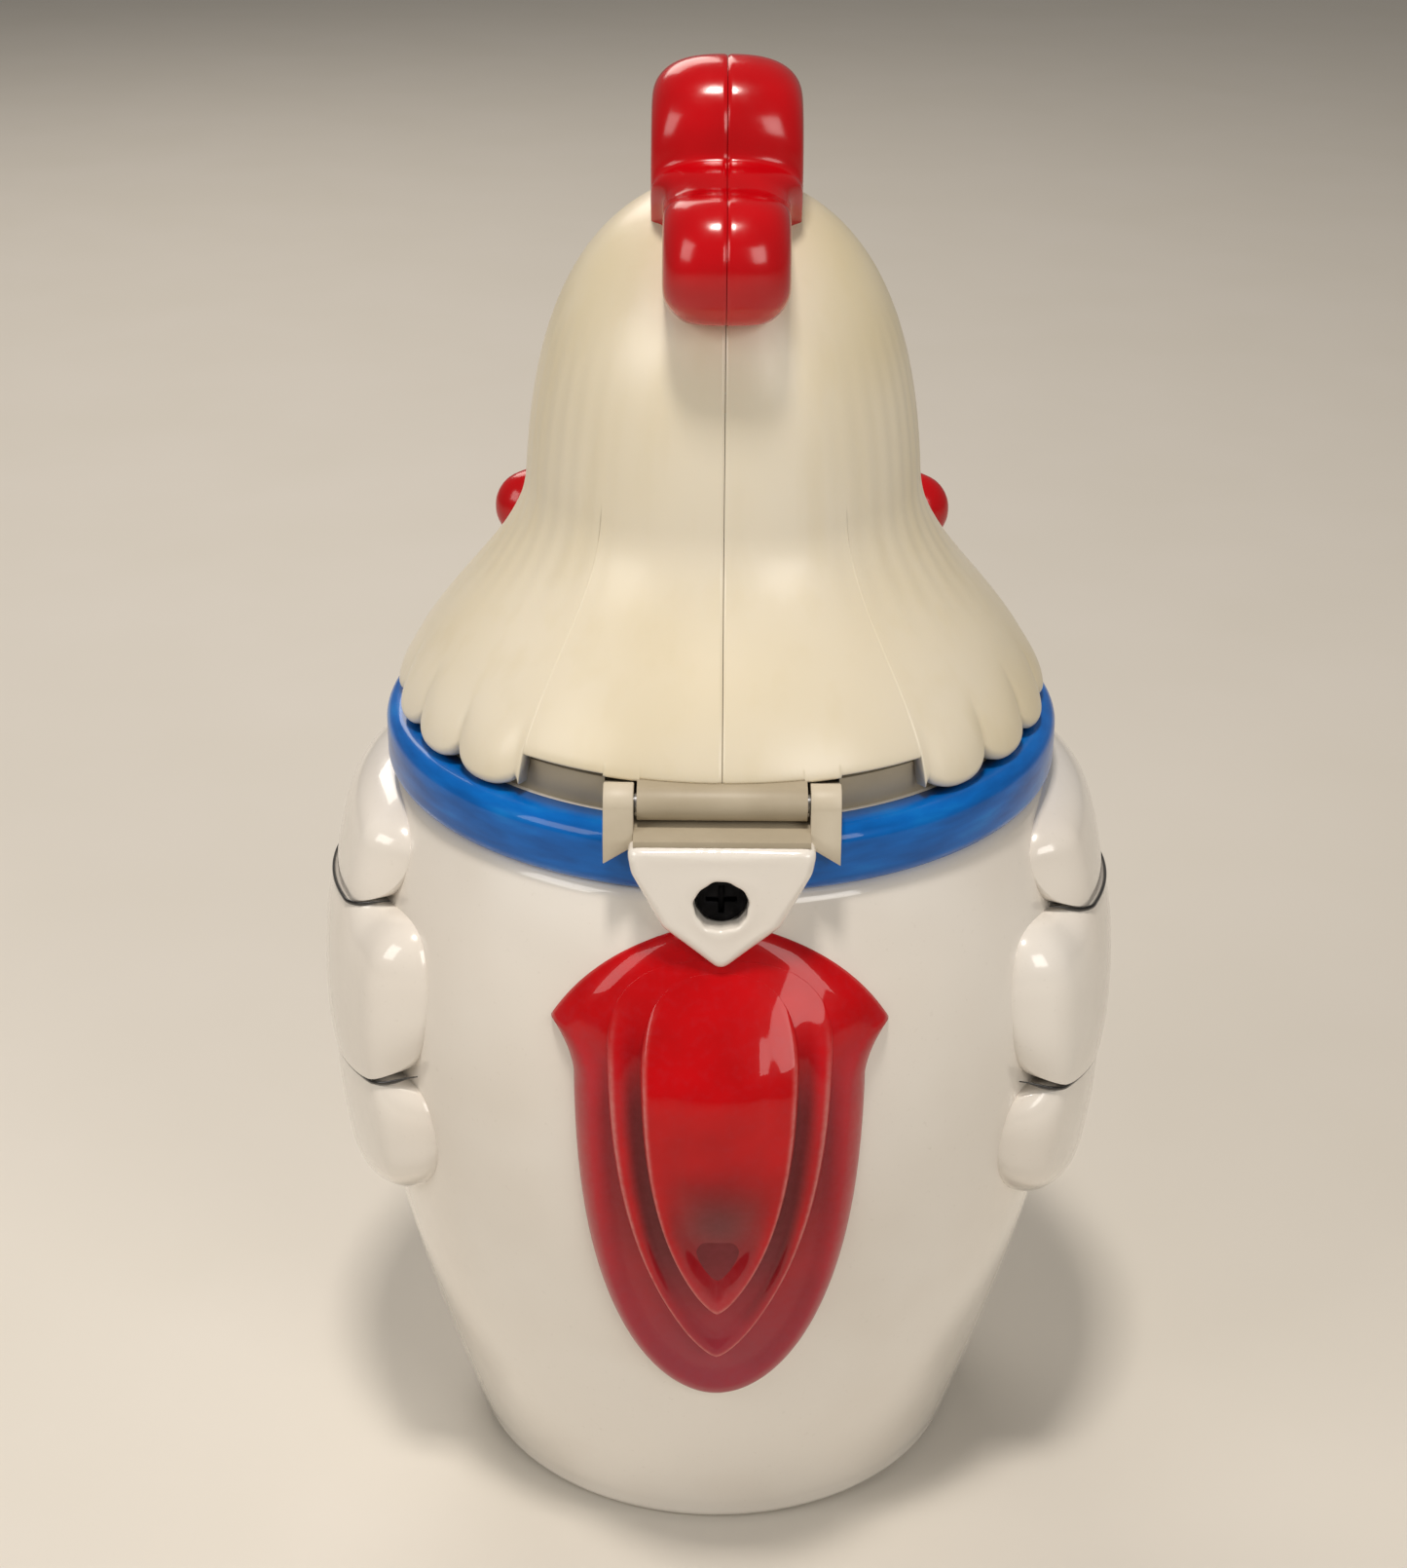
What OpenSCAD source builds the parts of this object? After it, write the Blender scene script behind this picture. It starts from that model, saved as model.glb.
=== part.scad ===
// Chicken-shaped storage jar with a head that tips back on a rear hinge.
// Millimetres. +Z is up, the origin is the centre of the base, and the chicken
// faces -Y, so its tail and its hinge are at +Y.

/* [Jar] */
// Radius of the flat base
base_r = 36.6; // [30:0.2:44]
// Radius of the belly
belly_r = 52.1; // [46:0.1:62]
// Height at which the belly is widest
belly_z = 76; // [62:1:88]
// Radius of the shoulder, just under the collar
shoulder_r = 46.3; // [45.5:0.1:48]
// Height of the shoulder
shoulder_z = 109.6; // [100:0.2:132]
// Height of the neck above the shoulder
neck_h = 8.9; // [7.5:0.1:11]
// Outer radius of the neck, under the collar
neck_r = 44.5; // [43.5:0.1:45.5]
// Thickness of the jar's side wall
jar_wall = 4.5; // [3:0.1:5.5]
// Thickness of the jar's floor
floor_t = 5; // [3:0.5:9]
// Radius of the neck's bore
mouth_r = 40.2; // [39:0.1:41]

/* [Collar] */
// How far the collar stands out from the neck
collar_t = 3; // [2:0.1:3.4]
// Radius of the collar's rounded edges
collar_round = 1.4; // [0.6:0.1:1.6]

/* [Tail and wings] */
// Half width of the tail where its sides end
tail_w = 19.3; // [16:0.1:21]
// Thickness of each of the tail's three layers
tail_step = 2.6; // [1.5:0.1:3.5]
// How far the wings stand out past the belly
wing_out = 5.9; // [4:0.1:7]
// Slope of the wing feathers, rising to the rear
wing_slope = 9; // [0:1:14]

/* [Head] */
// Height of the head above its rim
head_h = 73.2; // [62:0.2:90]
// Radius of the head's rim
rim_r = 45; // [44.6:0.1:45.6]
// Radius of the head above its flare
crown_r = 27.5; // [24:0.1:30]
// Height of the flare above the rim
flare_h = 33; // [28:1:40]
// Wall thickness of the two head shells
head_wall = 2; // [1.5:0.1:2.2]
// Half width of the notch at the back of the rim
notch_w = 26.8; // [20:0.2:30]
// Height of that notch
notch_h = 5.8; // [5.4:0.1:7]
// Number of feather lobes round the rim
rim_lobes = 24; // [16:1:28]

/* [Comb, beak, eyes and wattles] */
// Radius of the comb's tallest lobe
comb_r = 9.7; // [7:0.1:10.5]
// Length of the beak
beak_l = 17; // [12:0.5:22]
// Radius of an eye
eye_r = 5; // [4:0.1:6]
// Radius of a wattle's end
wattle_r = 5.2; // [4:0.1:6]

/* [Hinge] */
// Radius of the hinge pin
pin_r = 1.2; // [0.9:0.05:1.3]
// Half width of the knuckle on the lid plate
knuckle_w = 10.9; // [8:0.1:12]
// Thickness of each hinge ear
ear_t = 3.9; // [3:0.1:5]
// Radius of the recess in the boss for the screw head
recess_r = 3.5; // [3.4:0.1:4.2]
// Radius of the hinge screw's shank
screw_r = 2; // [1.5:0.1:2.2]

/* [Clearances] */
// Gap between a moving piece and a fixed one
gap = 0.35; // [0.3:0.05:0.5]
// Radial running clearance of the knuckle on the pin
run_gap = 0.05; // [0.02:0.01:0.09]
// Gap round the neck ring and the lid's inner edge
seat_gap = 0.4; // [0.2:0.05:0.6]

/* [Hidden] */
$fn = 96;

WHITE = [0.91, 0.89, 0.84];
CREAM = [0.89, 0.85, 0.73];
RED = [0.75, 0.02, 0.08];
BLUE = [0.02, 0.33, 0.72];
YELLOW = [0.95, 0.66, 0.14];
STEEL = [0.7, 0.7, 0.72];
BLACK = [0.06, 0.06, 0.07];

eps = 0.01;
far = 400;

// ---- jar ----
jar_top = shoulder_z + neck_h;
cavity_top = shoulder_z - 3;

// Outer radius of the jar below its shoulder: a quarter sine up to the belly,
// then a parabola in to the shoulder.
function jar_r(z) = z < belly_z
    ? base_r + (belly_r - base_r) * sin(90 * z / belly_z)
    : shoulder_r + (belly_r - shoulder_r) * (1 - pow((z - belly_z) / (shoulder_z - belly_z), 2));
function steps(a, b, n) = [for (i = [0 : n]) a + (b - a) * i / n];

foot_round = 1.2;
jar_levels = steps(foot_round, shoulder_z, 28);
jar_outline = concat(
    [[0, 0], [base_r - foot_round, 0]],
    [for (z = jar_levels) [jar_r(z), z]],
    [[neck_r, shoulder_z], [neck_r, jar_top], [0, jar_top]]);

floor_round = 6;
cavity_outline = concat(
    [[0, floor_t]],
    [for (a = steps(-90, 0, 6)) [jar_r(floor_t + floor_round) - jar_wall - floor_round
        + floor_round * cos(a), floor_t + floor_round + floor_round * sin(a)]],
    [for (z = steps(floor_t + floor_round + 3, shoulder_z - 9, 20)) [jar_r(z) - jar_wall, z]],
    [[mouth_r, cavity_top], [mouth_r, jar_top + 1], [0, jar_top + 1]]);

module jar_solid() { rotate_extrude() polygon(jar_outline); }

// A layer that follows the jar's side above z0, from t0 to t1 outside it, at the back only.
module jar_skin(t0, t1, z0) {
    zs = [for (z = jar_levels) if (z > z0) z];
    rotate([0, 0, 40]) rotate_extrude(angle = 100)
        polygon(concat([for (z = zs) [jar_r(z) + t1, z]],
            [for (i = [len(zs) - 1 : -1 : 0]) [jar_r(zs[i]) + t0, zs[i]]]));
}

// ---- hinge boss, and the screw through it ----
boss_w = 12;
boss_y = shoulder_r + 5.2;
boss_tip = 17;
screw_z = jar_top - 8;
boss_outline = [[-boss_w, jar_top], [-boss_w + 0.4, jar_top - 2], [-10, jar_top - 6.8],
    [-7.4, jar_top - 11.2], [-2, jar_top - boss_tip + 0.9], [0, jar_top - boss_tip],
    [2, jar_top - boss_tip + 0.9], [7.4, jar_top - 11.2], [10, jar_top - 6.8],
    [boss_w - 0.4, jar_top - 2], [boss_w, jar_top]];
recess_l = 4.6;
screw_head_t = 2.2;
screw_l = 16;
seat_y = boss_y - recess_l;
nut_t = 3.2;
nut_w = 7;
pad_w = 6;

module boss_block() {
    translate([0, boss_y, 0]) rotate([90, 0, 0]) linear_extrude(boss_y - 36) polygon(boss_outline);
}
// A round bar along Y, from y0 to y1 at the screw's height.
module screw_bar(r, y0, y1) {
    translate([0, y1, screw_z]) rotate([90, 0, 0]) cylinder(r = r, h = y1 - y0);
}
module screw_path() {
    screw_bar(recess_r, seat_y, boss_y + 1);
    screw_bar(screw_r + 0.15, 0, seat_y + 1);
}

// ---- neck ring, hinge and lid ----
ring_wall = 2.8;
ring_in = mouth_r - seat_gap - ring_wall;
ring_low = shoulder_z - 5.6;
ring_top = jar_top + 4.5;
rim_z = jar_top + gap;
ring_out = head_r(ring_top) - head_wall - gap;
lip_t = 0.8;
lip_z = jar_top + lip_t;
ear_in = knuckle_w + gap + 0.05;
ear_out = ear_in + ear_t;
ear_r = pin_r + 1.4;
knuckle_r = pin_r + 1.05;
pin_z = lip_z + 0.1 + gap + knuckle_r;
pin_y = rim_r - 0.4;
ear_front = shoulder_r + 2.1;
ear_back = neck_r + collar_t - 1;
ear_tip = jar_top - 3.5;
ear_bevel = 2.5;
ear_play = 0.2;
plate_z = ring_top + 1.2;
plate_t = 2;
plate_r = head_r(plate_z + plate_t) - head_wall - seat_gap / 2;
plug_r = ring_in - 2;
plug_z = jar_top - 3;
plate_screw_r = (plug_r + plate_r) / 2;
post_r = 2.4;
pad_h = plug_z - 1 - (screw_z - 5.5);

// ---- head ----
// Outer radius of the head: a blunt dome, with a flare that fades as a cosine.
function head_r(z) = let (u = max(0, z - rim_z) / head_h, v = min(1, max(0, z - rim_z) / flare_h))
    crown_r * sqrt(max(0, 1 - pow(u, 4.2))) + (rim_r - crown_r) * (1 + cos(180 * v)) / 2;
crown_z = rim_z + head_h;
notch_z = rim_z + notch_h;
head_levels = concat(steps(rim_z, crown_z - 12, 26), steps(crown_z - 11, crown_z, 9));

module head_solid(inset) {
    zs = [for (z = head_levels) if (z < crown_z - inset && head_r(z) > inset + 3) z];
    rotate_extrude() polygon(concat(
        [[0, rim_z - (inset > 0 ? 1 : 0)], [head_r(rim_z) - inset, rim_z - (inset > 0 ? 1 : 0)]],
        [for (z = zs) [head_r(z) - inset, z]], [[3, crown_z - inset], [0, crown_z - inset]]));
}
// The half of space on one side of the seam.
module half(side) { translate([side > 0 ? 0 : -far, -far, -far]) cube([far, 2 * far, 2 * far]); }
module plate_screw_places(k) {
    rotate([0, 0, 45 + 90 * k]) translate([plate_screw_r, 0, 0]) children();
}

module head_shell(side) {
    lobe_cut = 1.9;
    screws = side > 0 ? [0, 3] : [1, 2];
    difference() {
        intersection() { head_solid(0); half(side); }
        difference() {
            head_solid(head_wall);
            for (k = screws) plate_screw_places(k)
                translate([0, 0, plate_z + plate_t]) cylinder(r = post_r, h = 9, $fn = 32);
        }
        translate([-notch_w, pin_y - 16, rim_z - 1]) cube([2 * notch_w, 20, notch_h + 1]);
        for (s = [-1, 1]) translate([s > 0 ? ear_in - 0.4 : -ear_out - 0.6, pin_y - 5, rim_z])
            cube([ear_t + 1, 9, notch_h + 1]);
        for (k = [0 : rim_lobes - 1]) rotate([0, 0, (k + 0.5) * 360 / rim_lobes])
            translate([rim_r - 6, 0, rim_z - 0.2]) rotate([0, 90, 0]) cylinder(r = lobe_cut, h = 12, $fn = 24);
        for (k = screws) plate_screw_places(k)
            translate([0, 0, plate_z]) cylinder(r = 1.1, h = 7, $fn = 24);
    }
}

// ---- wing feathers ----
// The heights where one feather meets the next, at the jar's side, from the top,
// and how much each rises for a degree towards the back.
wing_levels = [shoulder_z + 1, belly_z + 16, belly_z - 11.5, belly_z - 36];
wing_rise = [-0.02, 0.115, 0.21, 0.3];
wing_bulge = [wing_out - 0.5, wing_out, wing_out - 0.4];
wing_front = -52;
wing_back = [27, 38, 38];
wing_line = 0.3;
wing_sink = 0.3;
ring_count = 20;
side_count = 9;

function wing_edge(k, a) = wing_levels[k] + wing_rise[k] * max(a, -12);
// A point of feather k: u runs 0 to 1 from front to back, v runs -1 to 1 upwards.
function wing_point(k, u, v, outer) = let (
    a = wing_front + (wing_back[k] - wing_front) * u,
    low = wing_edge(k + 1, a) + wing_line / 2,
    high = min(shoulder_z - 0.5, wing_edge(k, a) - wing_line / 2),
    round = pow(max(0, 1 - pow(abs(2 * u - 1), 4)), 0.5),
    z = (low + high) / 2 + v * round * (high - low) / 2,
    out = outer ? wing_bulge[k] * round * sqrt(max(0, 1 - v * v)) : 0,
    r = jar_r(z) - wing_sink + out)
    [r * cos(a), r * sin(a), z];
function wing_ring(k, u) = concat(
    [for (i = [0 : side_count]) wing_point(k, u, -cos(180 * i / side_count), true)],
    [for (i = [side_count - 1 : -1 : 1]) wing_point(k, u, -cos(180 * i / side_count), false)]);

module wing_feather(side, k) {
    m = 2 * side_count;
    rings = [for (j = [1 : ring_count - 1]) wing_ring(k, (1 - cos(180 * j / ring_count)) / 2)];
    n = len(rings);
    points = concat([for (ring = rings) for (p = ring) p],
        [wing_point(k, 0, 0, false), wing_point(k, 1, 0, false)]);
    walls = [for (j = [0 : n - 2]) for (i = [0 : m - 1]) let (b = (i + 1) % m)
        each [[j * m + i, (j + 1) * m + i, (j + 1) * m + b], [j * m + i, (j + 1) * m + b, j * m + b]]];
    ends = [for (i = [0 : m - 1]) let (b = (i + 1) % m)
        each [[n * m, i, b], [n * m + 1, (n - 1) * m + b, (n - 1) * m + i]]];
    mirror([side < 0 ? 1 : 0, 0, 0]) polyhedron(points, concat(walls, ends));
}

// ---- tail ----
// Half width of a feather, rising from its tip to its widest place.
function feather_w(z, tip, wide, w, p) = w * sin(90 * pow(max(0, min(1, (z - tip) / (wide - tip))), p));
tail_tip = 31.5;
tail_wide = tail_tip + 53;
tail_corner = [tail_w + 3, tail_wide + 7];
tail_top = shoulder_z - 3;
function bend(a, b, c, n) = [for (t = steps(0, 1, n)) a * pow(1 - t, 2) + b * 2 * t * (1 - t) + c * t * t];
function both_sides(p) = concat(p, [for (i = [len(p) - 2 : -1 : 1]) [-p[i][0], p[i][1]]]);
function feather_side(tip, wide, w, p) =
    [for (z = steps(0, 1, 14)) let (q = tip + (wide - tip) * z * z) [feather_w(q, tip, wide, w, p), q]];
layer_w = tail_w - 4.6;
layer_wide = tail_wide + 6;
feather_half = tail_w - 9;
feather_wide = tail_wide + 4;
tail_outlines = [
    both_sides(concat(feather_side(tail_tip, tail_wide, tail_w, 0.58),
        bend(tail_corner, [tail_w - 4, tail_top - 2], [0, tail_top + 1], 9))),
    both_sides(concat(feather_side(tail_tip + 9.5, layer_wide, layer_w, 0.7),
        bend([layer_w, layer_wide + 1], [layer_w, tail_top], [0, tail_top], 9))),
    both_sides(concat(feather_side(tail_tip + 18.5, feather_wide, feather_half, 0.7),
        bend([feather_half, feather_wide + 6], [feather_half, tail_top - 1], [0, tail_top - 1], 9)))];

module tail_part(k) {
    difference() {
        intersection() {
            translate([0, far, 0]) rotate([90, 0, 0]) linear_extrude(far) polygon(tail_outlines[k]);
            jar_skin(k * tail_step, (k + 1) * tail_step, tail_tip - 9);
        }
        boss_block();
    }
}

// ---- parts of the jar ----
module jar_body() {
    color(WHITE) difference() {
        jar_solid();
        rotate_extrude() polygon(cavity_outline);
        screw_path();
    }
}
module collar() {
    r = neck_r + collar_t - collar_round;
    color(BLUE) difference() {
        rotate_extrude() union() {
            translate([neck_r, shoulder_z]) square([collar_t - collar_round, neck_h]);
            translate([neck_r, shoulder_z + collar_round]) square([collar_t, neck_h - 2 * collar_round]);
            translate([r, shoulder_z + collar_round]) circle(r = collar_round, $fn = 32);
            translate([r, jar_top - collar_round]) circle(r = collar_round, $fn = 32);
        }
        boss_block();
    }
}
module hinge_boss() {
    color(WHITE) difference() {
        boss_block();
        jar_solid();
        screw_path();
        for (s = [-1, 1]) translate([s > 0 ? ear_in - ear_play : -ear_out - ear_play, 0, ear_tip - ear_play])
            cube([ear_t + 2 * ear_play, ear_front + ear_play, far]);
    }
}
module tail_base() { color(RED) tail_part(0); }
module tail_layer() { color(RED) tail_part(1); }
module tail_feather() { color(RED) tail_part(2); }
module wing_left_upper() { color(WHITE) wing_feather(1, 0); }
module wing_left_middle() { color(WHITE) wing_feather(1, 1); }
module wing_left_lower() { color(WHITE) wing_feather(1, 2); }
module wing_right_upper() { color(WHITE) wing_feather(-1, 0); }
module wing_right_middle() { color(WHITE) wing_feather(-1, 1); }
module wing_right_lower() { color(WHITE) wing_feather(-1, 2); }

module neck_ring() {
    color(CREAM) difference() {
        union() {
            rotate_extrude() polygon([[ring_in, ring_low], [mouth_r - seat_gap, ring_low],
                [mouth_r - seat_gap, jar_top], [ring_out, jar_top], [ring_out, ring_top],
                [ring_in, ring_top]]);
            translate([-ear_in, ring_in + 0.5, jar_top])
                cube([2 * ear_in, boss_y - 1 - ring_in - 0.5, lip_t]);
            intersection() {
                translate([-pad_w, ring_in - 3, screw_z - 5.5]) cube([2 * pad_w, 6, pad_h]);
                cylinder(r = mouth_r - seat_gap, h = far);
            }
        }
        translate([-ear_in, ring_in - 2, lip_z]) cube([2 * ear_in, 12, far]);
        for (s = [-1, 1]) translate([s > 0 ? ear_in : -ear_out, ring_in - 2, lip_z])
            cube([ear_t, 12, far]);
        screw_bar(screw_r + 0.15, 0, far);
    }
}
module hinge_ear(side) {
    color(CREAM) mirror([side < 0 ? 1 : 0, 0, 0]) difference() {
        translate([ear_out, 0, 0]) rotate([90, 0, -90]) linear_extrude(ear_t) mirror([1, 0]) union() {
            translate([pin_y, pin_z]) circle(r = ear_r, $fn = 48);
            polygon([[ring_in + 2, lip_z], [ear_back, lip_z], [ear_back, ear_tip], [ear_front, ear_tip],
                [ear_front, lip_z - 0.7], [pin_y + ear_r, pin_z], [pin_y, pin_z + ear_r],
                [ring_in + 2, pin_z + 0.5]]);
        }
        translate([ear_in - 1, pin_y, pin_z]) rotate([0, 90, 0]) cylinder(r = pin_r, h = ear_t + 2);
        translate([ear_in, ear_back - 1, ear_tip]) rotate([0, atan(ear_bevel / ear_t), 0])
            translate([-3, 0, ear_bevel * cos(atan(ear_bevel / ear_t)) - 6]) cube([12, 6, 6]);
    }
}
module hinge_ear_left() { hinge_ear(1); }
module hinge_ear_right() { hinge_ear(-1); }
module hinge_pin() {
    color(STEEL) translate([-ear_out + 0.3, pin_y, pin_z]) rotate([0, 90, 0])
        cylinder(r = pin_r, h = 2 * (ear_out - 0.3));
}
module hinge_screw() {
    color(STEEL) difference() {
        union() {
            screw_bar(recess_r - 0.3, seat_y, seat_y + screw_head_t);
            screw_bar(screw_r, seat_y - screw_l, seat_y + eps);
        }
        for (a = [0, 90]) translate([0, seat_y + screw_head_t, screw_z]) rotate([0, a, 0])
            translate([-2, -1.2, -0.35]) cube([4, 2, 0.7]);
    }
}
module hinge_nut() {
    color(STEEL) translate([0, ring_in - 3, screw_z]) rotate([90, 0, 0]) difference() {
        cylinder(r = nut_w / sqrt(3), h = nut_t, $fn = 6);
        translate([0, 0, -1]) cylinder(r = screw_r, h = nut_t + 2);
    }
}

// ---- parts of the head ----
module head_left() { color(CREAM) head_shell(1); }
module head_right() { color(CREAM) head_shell(-1); }
module lid_plate() {
    color(CREAM) difference() {
        union() {
            translate([0, 0, plate_z]) cylinder(r = plate_r, h = plate_t);
            translate([0, 0, plug_z]) cylinder(r = plug_r, h = plate_z - plug_z + eps);
            translate([-knuckle_w, plug_r - 1, pin_z - 0.6]) cube([2 * knuckle_w, pin_y - plug_r + 1,
                plate_z - pin_z + 0.6 + eps]);
            translate([-knuckle_w, pin_y, pin_z]) rotate([0, 90, 0]) cylinder(r = knuckle_r, h = 2 * knuckle_w);
        }
        translate([0, 0, plug_z + plate_t]) cylinder(r = plug_r - plate_t, h = far);
        translate([-far / 2, pin_y, pin_z]) rotate([0, 90, 0]) cylinder(r = pin_r + run_gap, h = far);
        for (k = [0 : 3]) plate_screw_places(k) {
            translate([0, 0, plate_z - 1]) cylinder(r = 1.3, h = 6, $fn = 24);
            translate([0, 0, plate_z - eps]) cylinder(r1 = 2.5, r2 = 1.3, h = 1.4, $fn = 24);
        }
    }
}
module lid_gasket() {
    color(BLACK) rotate_extrude() translate([plug_r, plug_z + 0.5]) union() {
        square([0.9, 2.4]);
        translate([0.9, 1.2]) circle(r = 0.6, $fn = 24);
    }
}
module plate_screw(k) {
    color(STEEL) plate_screw_places(k) union() {
        translate([0, 0, plate_z + 0.1]) cylinder(r1 = 2.2, r2 = 1.1, h = 1.2, $fn = 24);
        translate([0, 0, plate_z + 0.2]) cylinder(r = 1.1, h = 6.3, $fn = 24);
    }
}
module plate_screw_1() { plate_screw(0); }
module plate_screw_2() { plate_screw(1); }
module plate_screw_3() { plate_screw(2); }
module plate_screw_4() { plate_screw(3); }

// The comb's lobes, from back to front. [y, height above the crown, radius]
comb_lobes = [[22.5, -5.5, comb_r - 1.5], [3.5, 6.7, comb_r], [-13, 4, comb_r - 1.9], [-25, -6, comb_r - 3.4]];
comb_root = [[-20, -14], [0, -9], [19, -13]];
// The right half is laid out back to front on the left side, then turned half a turn.
module comb_half(side) {
    reach = 44;
    color(RED) rotate([0, 0, side > 0 ? 0 : 180]) difference() {
        intersection() {
            union() {
                for (c = comb_lobes) translate([0, side * c[0], crown_z + c[1]]) sphere(r = c[2], $fn = 64);
                translate([comb_r - 3.4, 0, crown_z]) rotate([90, 0, -90]) linear_extrude(2 * (comb_r - 3.4))
                    polygon([for (c = concat(comb_lobes, comb_root)) [-side * c[0], c[1]]]);
            }
            translate([0, -reach, crown_z - reach]) cube([reach, 2 * reach, 2 * reach]);
        }
        head_solid(0);
    }
}
module comb_left() { comb_half(1); }
module comb_right() { comb_half(-1); }

beak_z = rim_z + 0.5 * head_h;
beak_y = head_r(beak_z) - 3;
module beak_upper() {
    color(YELLOW) difference() {
        translate([0, -beak_y, beak_z + 1]) rotate([96, 0, 0]) cylinder(r1 = 8, r2 = 1.2, h = beak_l + 3);
        translate([-far / 2, -far, beak_z - far]) cube([far, far, far]);
        head_solid(0);
    }
}
module beak_lower() {
    color(YELLOW) difference() {
        translate([0, -beak_y, beak_z - 0.5]) rotate([84, 0, 0]) cylinder(r1 = 6.5, r2 = 1.2, h = beak_l - 2);
        translate([-far / 2, -far, beak_z - 0.2]) cube([far, far, far]);
        head_solid(0);
    }
}
eye_z = beak_z + 13;
eye_turn = 36;
module at_eye(side, out) {
    rotate([0, 0, -90 + side * eye_turn]) translate([head_r(eye_z) + out, 0, eye_z]) children();
}
module eye(side) { color("white") difference() { at_eye(side, -2.2) sphere(r = eye_r, $fn = 48); head_solid(0); } }
module pupil(side) {
    color(BLACK) difference() {
        at_eye(side, -0.6) sphere(r = eye_r - 1.1, $fn = 32);
        at_eye(side, -2.2) sphere(r = eye_r, $fn = 48);
        head_solid(0);
    }
}
module eye_left() { eye(1); }
module eye_right() { eye(-1); }
module pupil_left() { pupil(1); }
module pupil_right() { pupil(-1); }

wattle_z = rim_z + 18.5;
// A drop turned about +Z: a small round at the bottom, a large one at height l.
module drop(r1, r2, l) {
    rotate_extrude() polygon(concat([for (a = steps(-90, 0, 6)) [r1 * cos(a), r1 * sin(a)]],
        [for (a = steps(5, 90, 8)) [r2 * cos(a), l + r2 * sin(a)]]));
}
module wattle(side) {
    a = [7, -head_r(beak_z - 9) + 0.5, beak_z - 9];
    b = [head_r(wattle_z) - 6.2, -22, wattle_z];
    d = b - a;
    color(RED) mirror([side < 0 ? 1 : 0, 0, 0]) difference() {
        translate(a) rotate([0, acos(d[2] / norm(d)), atan2(d[1], d[0])])
            drop(wattle_r - 1.6, wattle_r, norm(d));
        head_solid(0);
    }
}
module wattle_left() { wattle(1); }
module wattle_right() { wattle(-1); }

jar_body();
collar();
hinge_boss();
tail_base();
tail_layer();
tail_feather();
wing_left_upper();
wing_left_middle();
wing_left_lower();
wing_right_upper();
wing_right_middle();
wing_right_lower();
neck_ring();
hinge_ear_left();
hinge_ear_right();
hinge_pin();
hinge_screw();
hinge_nut();
head_left();
head_right();
lid_plate();
lid_gasket();
plate_screw_1();
plate_screw_2();
plate_screw_3();
plate_screw_4();
comb_left();
comb_right();
beak_upper();
beak_lower();
eye_left();
eye_right();
pupil_left();
pupil_right();
wattle_left();
wattle_right();
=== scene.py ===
import math
import bmesh
import bpy
import numpy as np
from mathutils import Matrix, Vector


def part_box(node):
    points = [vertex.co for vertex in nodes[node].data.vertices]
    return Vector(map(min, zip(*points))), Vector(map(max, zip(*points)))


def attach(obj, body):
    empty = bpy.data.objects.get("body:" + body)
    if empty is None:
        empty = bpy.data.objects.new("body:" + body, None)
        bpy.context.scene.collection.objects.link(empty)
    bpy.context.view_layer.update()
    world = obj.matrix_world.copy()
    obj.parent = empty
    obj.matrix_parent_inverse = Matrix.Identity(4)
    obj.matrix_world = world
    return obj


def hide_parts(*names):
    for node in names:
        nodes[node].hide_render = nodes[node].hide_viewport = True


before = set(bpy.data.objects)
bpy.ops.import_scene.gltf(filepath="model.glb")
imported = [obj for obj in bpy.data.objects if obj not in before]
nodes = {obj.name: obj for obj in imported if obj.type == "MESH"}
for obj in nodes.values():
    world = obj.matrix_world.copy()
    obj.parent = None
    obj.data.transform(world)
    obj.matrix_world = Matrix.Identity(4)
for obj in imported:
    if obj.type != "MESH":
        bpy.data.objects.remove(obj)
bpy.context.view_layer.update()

mm = 0.001
pi = math.pi


# the view is from behind, a little above the jar: mm, degrees, and the lens and sensor in mm
view = {"place": (2.4, 370.0, 278.5), "down": 25.3, "roll": 0.45, "lens": 64.85, "sensor": 36, "near": 0.01}


def makeCamera():
    # the camera looks along -Y, tipped down, with a small roll about its own axis
    down, roll = math.radians(view["down"]), math.radians(view["roll"])
    right = Vector((-1, 0, 0))
    up = Vector((0, -math.sin(down), math.cos(down)))
    ahead = Vector((0, -math.cos(down), -math.sin(down)))
    turnedRight = right * math.cos(roll) + up * math.sin(roll)
    turnedUp = up * math.cos(roll) - right * math.sin(roll)
    camera = bpy.data.objects.new("camera", bpy.data.cameras.new("camera"))
    turn = Matrix((turnedRight, turnedUp, -ahead)).transposed().to_4x4()
    camera.matrix_world = Matrix.Translation(Vector(view["place"]) * mm) @ turn
    camera.data.lens = view["lens"]
    camera.data.sensor_width = view["sensor"]
    camera.data.clip_start = view["near"]
    bpy.context.scene.collection.objects.link(camera)
    bpy.context.scene.camera = camera


# place in mm, width in mm, power in watts, warmth as an sRGB colour
lamps = [
    {"name": "keyLight", "place": (40, 240, 1050), "size": 130, "power": 5.6, "colour": "#FFF6EC"},
    {"name": "fillLight", "place": (-520, 760, 560), "size": 420, "power": 2.6, "colour": "#FFFAF4"},
    {"name": "sideLight", "place": (620, 420, 520), "size": 380, "power": 1.8, "colour": "#FFFAF4"},
    {"name": "frontLight", "place": (250, -800, 700), "size": 500, "power": 3.0, "colour": "#FFF6EC"},
]
studio = {"aim": (0, 0, 0.09), "roomColour": "#F4EFE8", "roomStrength": 0.2}


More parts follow.
